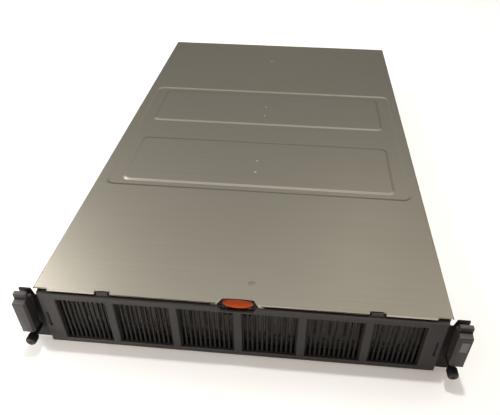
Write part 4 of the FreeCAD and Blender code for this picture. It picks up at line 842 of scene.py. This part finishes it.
BOARD_TOP, PROCESSOR_X, PROCESSOR_Y = 9.6, (-130, 40), 430
REAR_CANS, REAR_CANS_BACK = spread(-36, 9, 9), 64
FRONT_CANS, FRONT_CANS_Y = spread(-150, 11, 14), 300
TALL_CHIPS, CHIP_MARGIN = ((-24, 24, 586, 634), (56, 88, 556, 588), (-122, -26, 648, 686)), 4
CHIP_STAGGER, REAR_CHIPS_X, REAR_CHIPS_Y = 5, spread(-200, 17, 18), spread(524, 14, 11)
FRONT_CHIPS_X, FRONT_CHIPS_Y = spread(-196, 19, 17), spread(320, 12, 2)
MODULES = [x for start in (-210, -80) for bank in (0, 170) for x in spread(start + bank, 10, 4)]
MODULE_HALF, MODULE_CHIPS_Z, MODULE_CHIPS_Y = 0.7, 32.0, spread(PROCESSOR_Y - 56, 16, 8)
BOARD_SCREWS = [(x, y) for x in (-202, -45, 112) for y in (276, 698)]
CAGE_TOP, CAGE_SCREWS_Y = 84.0, (40, 110)


def on_board(places):
    return [(at(x, y, BOARD_TOP), UP) for x, y in places]


def clear_of_chips(x, y):
    return not any(left - CHIP_MARGIN < x < right + CHIP_MARGIN
                   and near - CHIP_MARGIN < y < far + CHIP_MARGIN
                   for left, right, near, far in TALL_CHIPS)


cans = [(x + shift, PROCESSOR_Y + REAR_CANS_BACK) for x in PROCESSOR_X for shift in REAR_CANS]
cans += [(x, FRONT_CANS_Y) for x in FRONT_CANS]
fitted("board_cans", "chassis", "board_laminate", CAN_METAL, "button", on_board(cans), Radius=3.2,
       Height=8.8, Rim=0.6)
chips = [(x + CHIP_STAGGER * (row % 2), y) for row, y in enumerate(REAR_CHIPS_Y) for x in REAR_CHIPS_X]
chips += [(x, y) for y in FRONT_CHIPS_Y for x in FRONT_CHIPS_X]
spots = on_board(place for place in chips if clear_of_chips(*place))
fitted("board_chips", "chassis", "board_laminate", CHIP_RESIN, "tile", spots, Size=(6.8, 4.6, 1.4),
       Inset=0.4)
spots = [(at(x + MODULE_HALF * sign, y, MODULE_CHIPS_Z), RIGHT * sign)
         for x in MODULES for sign in (-1, 1) for y in MODULE_CHIPS_Y]
fitted("memory_chips", "chassis", "board_laminate", CHIP_RESIN, "tile", spots, Size=(10.5, 10.5, 1.0),
       Inset=0.2)
spots = on_board(BOARD_SCREWS)
spots += [(at((bay - 3.5) * BAY_PITCH, y, CAGE_TOP), UP) for bay in BAYS for y in CAGE_SCREWS_Y]
fitted("inner_screws", "chassis", "pin_steel", SCREW_STEEL, "screw", spots, Radius=3.1, Height=1.4)

# Rear: panel, sockets, supplies

PANEL_FACE, PANEL_SCREWS = 734.2, ((-214.5, 8), (-214.5, 80), (96, 8), (96, 78), (-75, 78))
SLOT_FACE, SLOT_SCREW_X, SLOT_SCREWS_Z = 735.0, 56.5, (37, 55, 73)
JACK_X, JACK_LAMP_SHIFT, JACK_LAMP_Z = spread(-192, 16, 4), 4.2, 22.8
PIN_SHIFT, PIN_PITCH, PINS, PIN_BACK, PIN_Z = -3.57, 1.02, 8, 726.5, 22.0
SUPPLY_LOW, SUPPLY_PITCH, SUPPLY_FACE = 1.2, 41, 736
SUPPLY_SCREW_X, SUPPLY_SCREWS_Z = 136, (6, 33)
SUPPLY_LAMP_X, SUPPLY_LAMP_Z = 205.5, 34.4

spots = [(at(x, PANEL_FACE, z), BACK) for x, z in PANEL_SCREWS]
spots += [(at(SLOT_SCREW_X, SLOT_FACE, z), BACK) for z in SLOT_SCREWS_Z]
fitted("rear_screws", "chassis", "case_steel", SCREW_STEEL, "screw", spots, Radius=3.0, Height=1.1)
spots = [(at(pin, PIN_BACK, PIN_Z), DOWN) for x in JACK_X for pin in spread(x + PIN_SHIFT, PIN_PITCH, PINS)]
fitted("socket_pins", "chassis", "jack_metal", CONTACT_GOLD, "tile", spots, Size=(0.5, 8.0, 0.7), Inset=0.1)
for label, sign, material in LAMPS:
    spots = [(at(x + sign * JACK_LAMP_SHIFT, SLOT_FACE, JACK_LAMP_Z), BACK) for x in JACK_X]
    fitted(f"socket_lamps_{label}", "chassis", "jack_metal", material, "tile", spots, Size=(3.0, 1.0, 0.3),
           Inset=0.1)
eased("network_jacks", 0.2)
for supply in (1, 2):
    level = SUPPLY_LOW + SUPPLY_PITCH * (supply - 1)
    eased(f"supply_handle_{supply}", 0.9, segments=3)
    eased(f"supply_latch_{supply}", 0.5)
    eased(f"supply_inlet_{supply}", 0.3)
    spots = [(at(SUPPLY_SCREW_X, SUPPLY_FACE, level + z), BACK) for z in SUPPLY_SCREWS_Z]
    fitted(f"supply_screws_{supply}", f"supply_{supply}", "case_steel", SCREW_STEEL, "screw", spots,
           Radius=2.2, Height=0.9)
    spots = [(at(SUPPLY_LAMP_X, SUPPLY_FACE, level + SUPPLY_LAMP_Z), BACK)]
    fitted(f"supply_lamp_{supply}", f"supply_{supply}", "supply_plastic", GREEN_LENS, "button", spots,
           Radius=1.5, Height=0.9, Rim=0.4)

# Floor, light and camera, in metres

STAGE_MIDDLE, FLOOR_HALF, FLOOR_DROP = 3.0, 9.0, 0.0003
WALL_RADIUS, WALL_HEIGHT, WALL_MIDDLE = 8.9, 8.0, 3.9
# A glow has its direction, the cosines at which it starts and is full, and its strength.
SKY_GLOW = (((0, 0, 1), 0.25, 0.75, 0.545), ((0, 1, 0), 0.94, 1.0, 0.35), ((-1, 0, 0), 0.0, 0.8, 0.07),
            ((-0.8, 0.6, 0), 0.1, 0.95, 0.057), ((1, 0, 0), 0.0, 0.8, 0.19))
VIEW_PLACE = (0.05137, -0.72406, 0.49641)
VIEW_RIGHT, VIEW_UP = Vector((0.99572, 0.09217, 0.00625)), Vector((-0.06178, 0.61405, 0.78685))
VIEW_BACK = Vector((0.06869, -0.78387, 0.61711))
VIEW_SENSOR, VIEW_LENS, VIEW_SHIFT, VIEW_CLIP = 36.0, 36.80, (-0.01446, 0.0005), (0.02, 50.0)


def staged(name, shape, material):
    """Enter a drawn shape as part of the surroundings."""
    mesh = mesh_of(shape)
    mesh.materials.append(material)
    item = into_scene(name, mesh)
    return item


def floor():
    ground = bmesh.new()
    bmesh.ops.create_grid(ground, x_segments=4, y_segments=4, size=FLOOR_HALF,
                          matrix=Matrix.Translation((0, STAGE_MIDDLE, -FLOOR_DROP)))
    material, tree, shader = finish("white_floor", Roughness=0.75, Emission_Strength=0.20,
                                    Emission_Color=(1.0, 0.82, 0.66, 1))
    drift = clouds(tree, surface_place(tree), scale=3.0)
    tint = tones(tree, drift, (0.90, 0.895, 0.885), (0.93, 0.928, 0.92))
    wire(tree, shader, Base_Color=tint)
    staged("floor", ground, material)


def far_wall():
    """A pale round wall at the floor's rim. It takes no part in the lighting."""
    ring = bmesh.new()
    bmesh.ops.create_cone(ring, cap_ends=False, segments=96, radius1=WALL_RADIUS, radius2=WALL_RADIUS,
                          depth=WALL_HEIGHT, matrix=Matrix.Translation((0, STAGE_MIDDLE, WALL_MIDDLE)))
    material, tree, shader = finish("pale_wall", Roughness=0.9, Emission_Strength=0.8)
    drift = clouds(tree, surface_place(tree), scale=0.4)
    tint = tones(tree, drift, (0.90, 0.895, 0.885), (0.96, 0.957, 0.95))
    wire(tree, shader, Base_Color=tint, Emission_Color=tint)
    wall = staged("far_wall", ring, material)
    wall.visible_diffuse = wall.visible_glossy = wall.visible_transmission = wall.visible_shadow = False


def studio_sky():
    """Soft room light: from above, from behind and from both sides, and none from in front."""
    world = bpy.context.scene.world = bpy.data.worlds.new("studio_sky")
    world.use_nodes = True
    tree = world.node_tree
    place = new_node(tree, "ShaderNodeTexCoord").outputs["Generated"]
    glow = 0.0
    for direction, fades, full, amount in SKY_GLOW:
        along = new_node(tree, "ShaderNodeVectorMath", {"operation": "DOT_PRODUCT"}, n0=place, n1=direction)
        share = step(tree, "ShaderNodeMapRange", {"interpolation_type": "SMOOTHSTEP"},
                     Value=along.outputs["Value"], From_Min=fades, From_Max=full, To_Max=amount)
        glow = math_step(tree, "ADD", glow, share)
    tint = tones(tree, glow, (0, 0, 0), (1.0, 0.985, 0.96), start=0.0, end=1.0)
    tree.links.new(tint, tree.nodes["Background"].inputs["Color"])


def soft_box(name, place, target, size, power, colour=(1, 1, 1), glints=True):
    """A square lamp aimed at a target. Without glints it lights matt surfaces only."""
    light = bpy.data.lights.new(name, "AREA")
    light.shape = "SQUARE"
    light.size = size
    light.energy = power
    light.color = colour
    item = into_scene(name, light)
    item.location = place
    item.visible_glossy = glints
    item.rotation_euler = (Vector(target) - Vector(place)).to_track_quat("-Z", "Y").to_euler()


def camera():
    """The photograph's view: from the front, a little to the right, looking down."""
    view = bpy.data.cameras.new("camera")
    view.sensor_width, view.lens = VIEW_SENSOR, VIEW_LENS
    view.shift_x, view.shift_y = VIEW_SHIFT
    view.clip_start, view.clip_end = VIEW_CLIP
    item = into_scene("camera", view)
    turn = Matrix((VIEW_RIGHT, VIEW_UP, VIEW_BACK)).transposed().to_4x4()
    item.matrix_world = Matrix.Translation(VIEW_PLACE) @ turn
    bpy.context.scene.camera = item


floor()
far_wall()
studio_sky()
soft_box("corner_light", (-1.31, 0.49, 1.43), (-0.27, -0.39, 0.087), size=0.55, power=9.0)
soft_box("front_light", (-0.52, -0.66, 0.08), (-0.20, -0.37, 0.05), size=0.14, power=2.0)
soft_box("ceiling_light", (-0.05, 0.15, 3.2), (-0.05, 0.0, 0.0), size=0.16, power=43, glints=False)
soft_box("ceiling_panel", (-0.05, 0.70, 3.1), (-0.05, 0.0, 0.0), size=1.2, power=4.5)
soft_box("right_light", (1.3, 0.45, 1.3), (0.1, -0.2, 0.087), size=0.8, power=2.4, colour=(1.0, 0.91, 0.78))
soft_box("rear_light", (0.40, 1.13, 1.47), (0.13, -0.30, 0.087), size=0.3, power=0.28,
         colour=(1.0, 0.90, 0.76))
camera()
bpy.context.scene.view_settings.view_transform = "Standard"
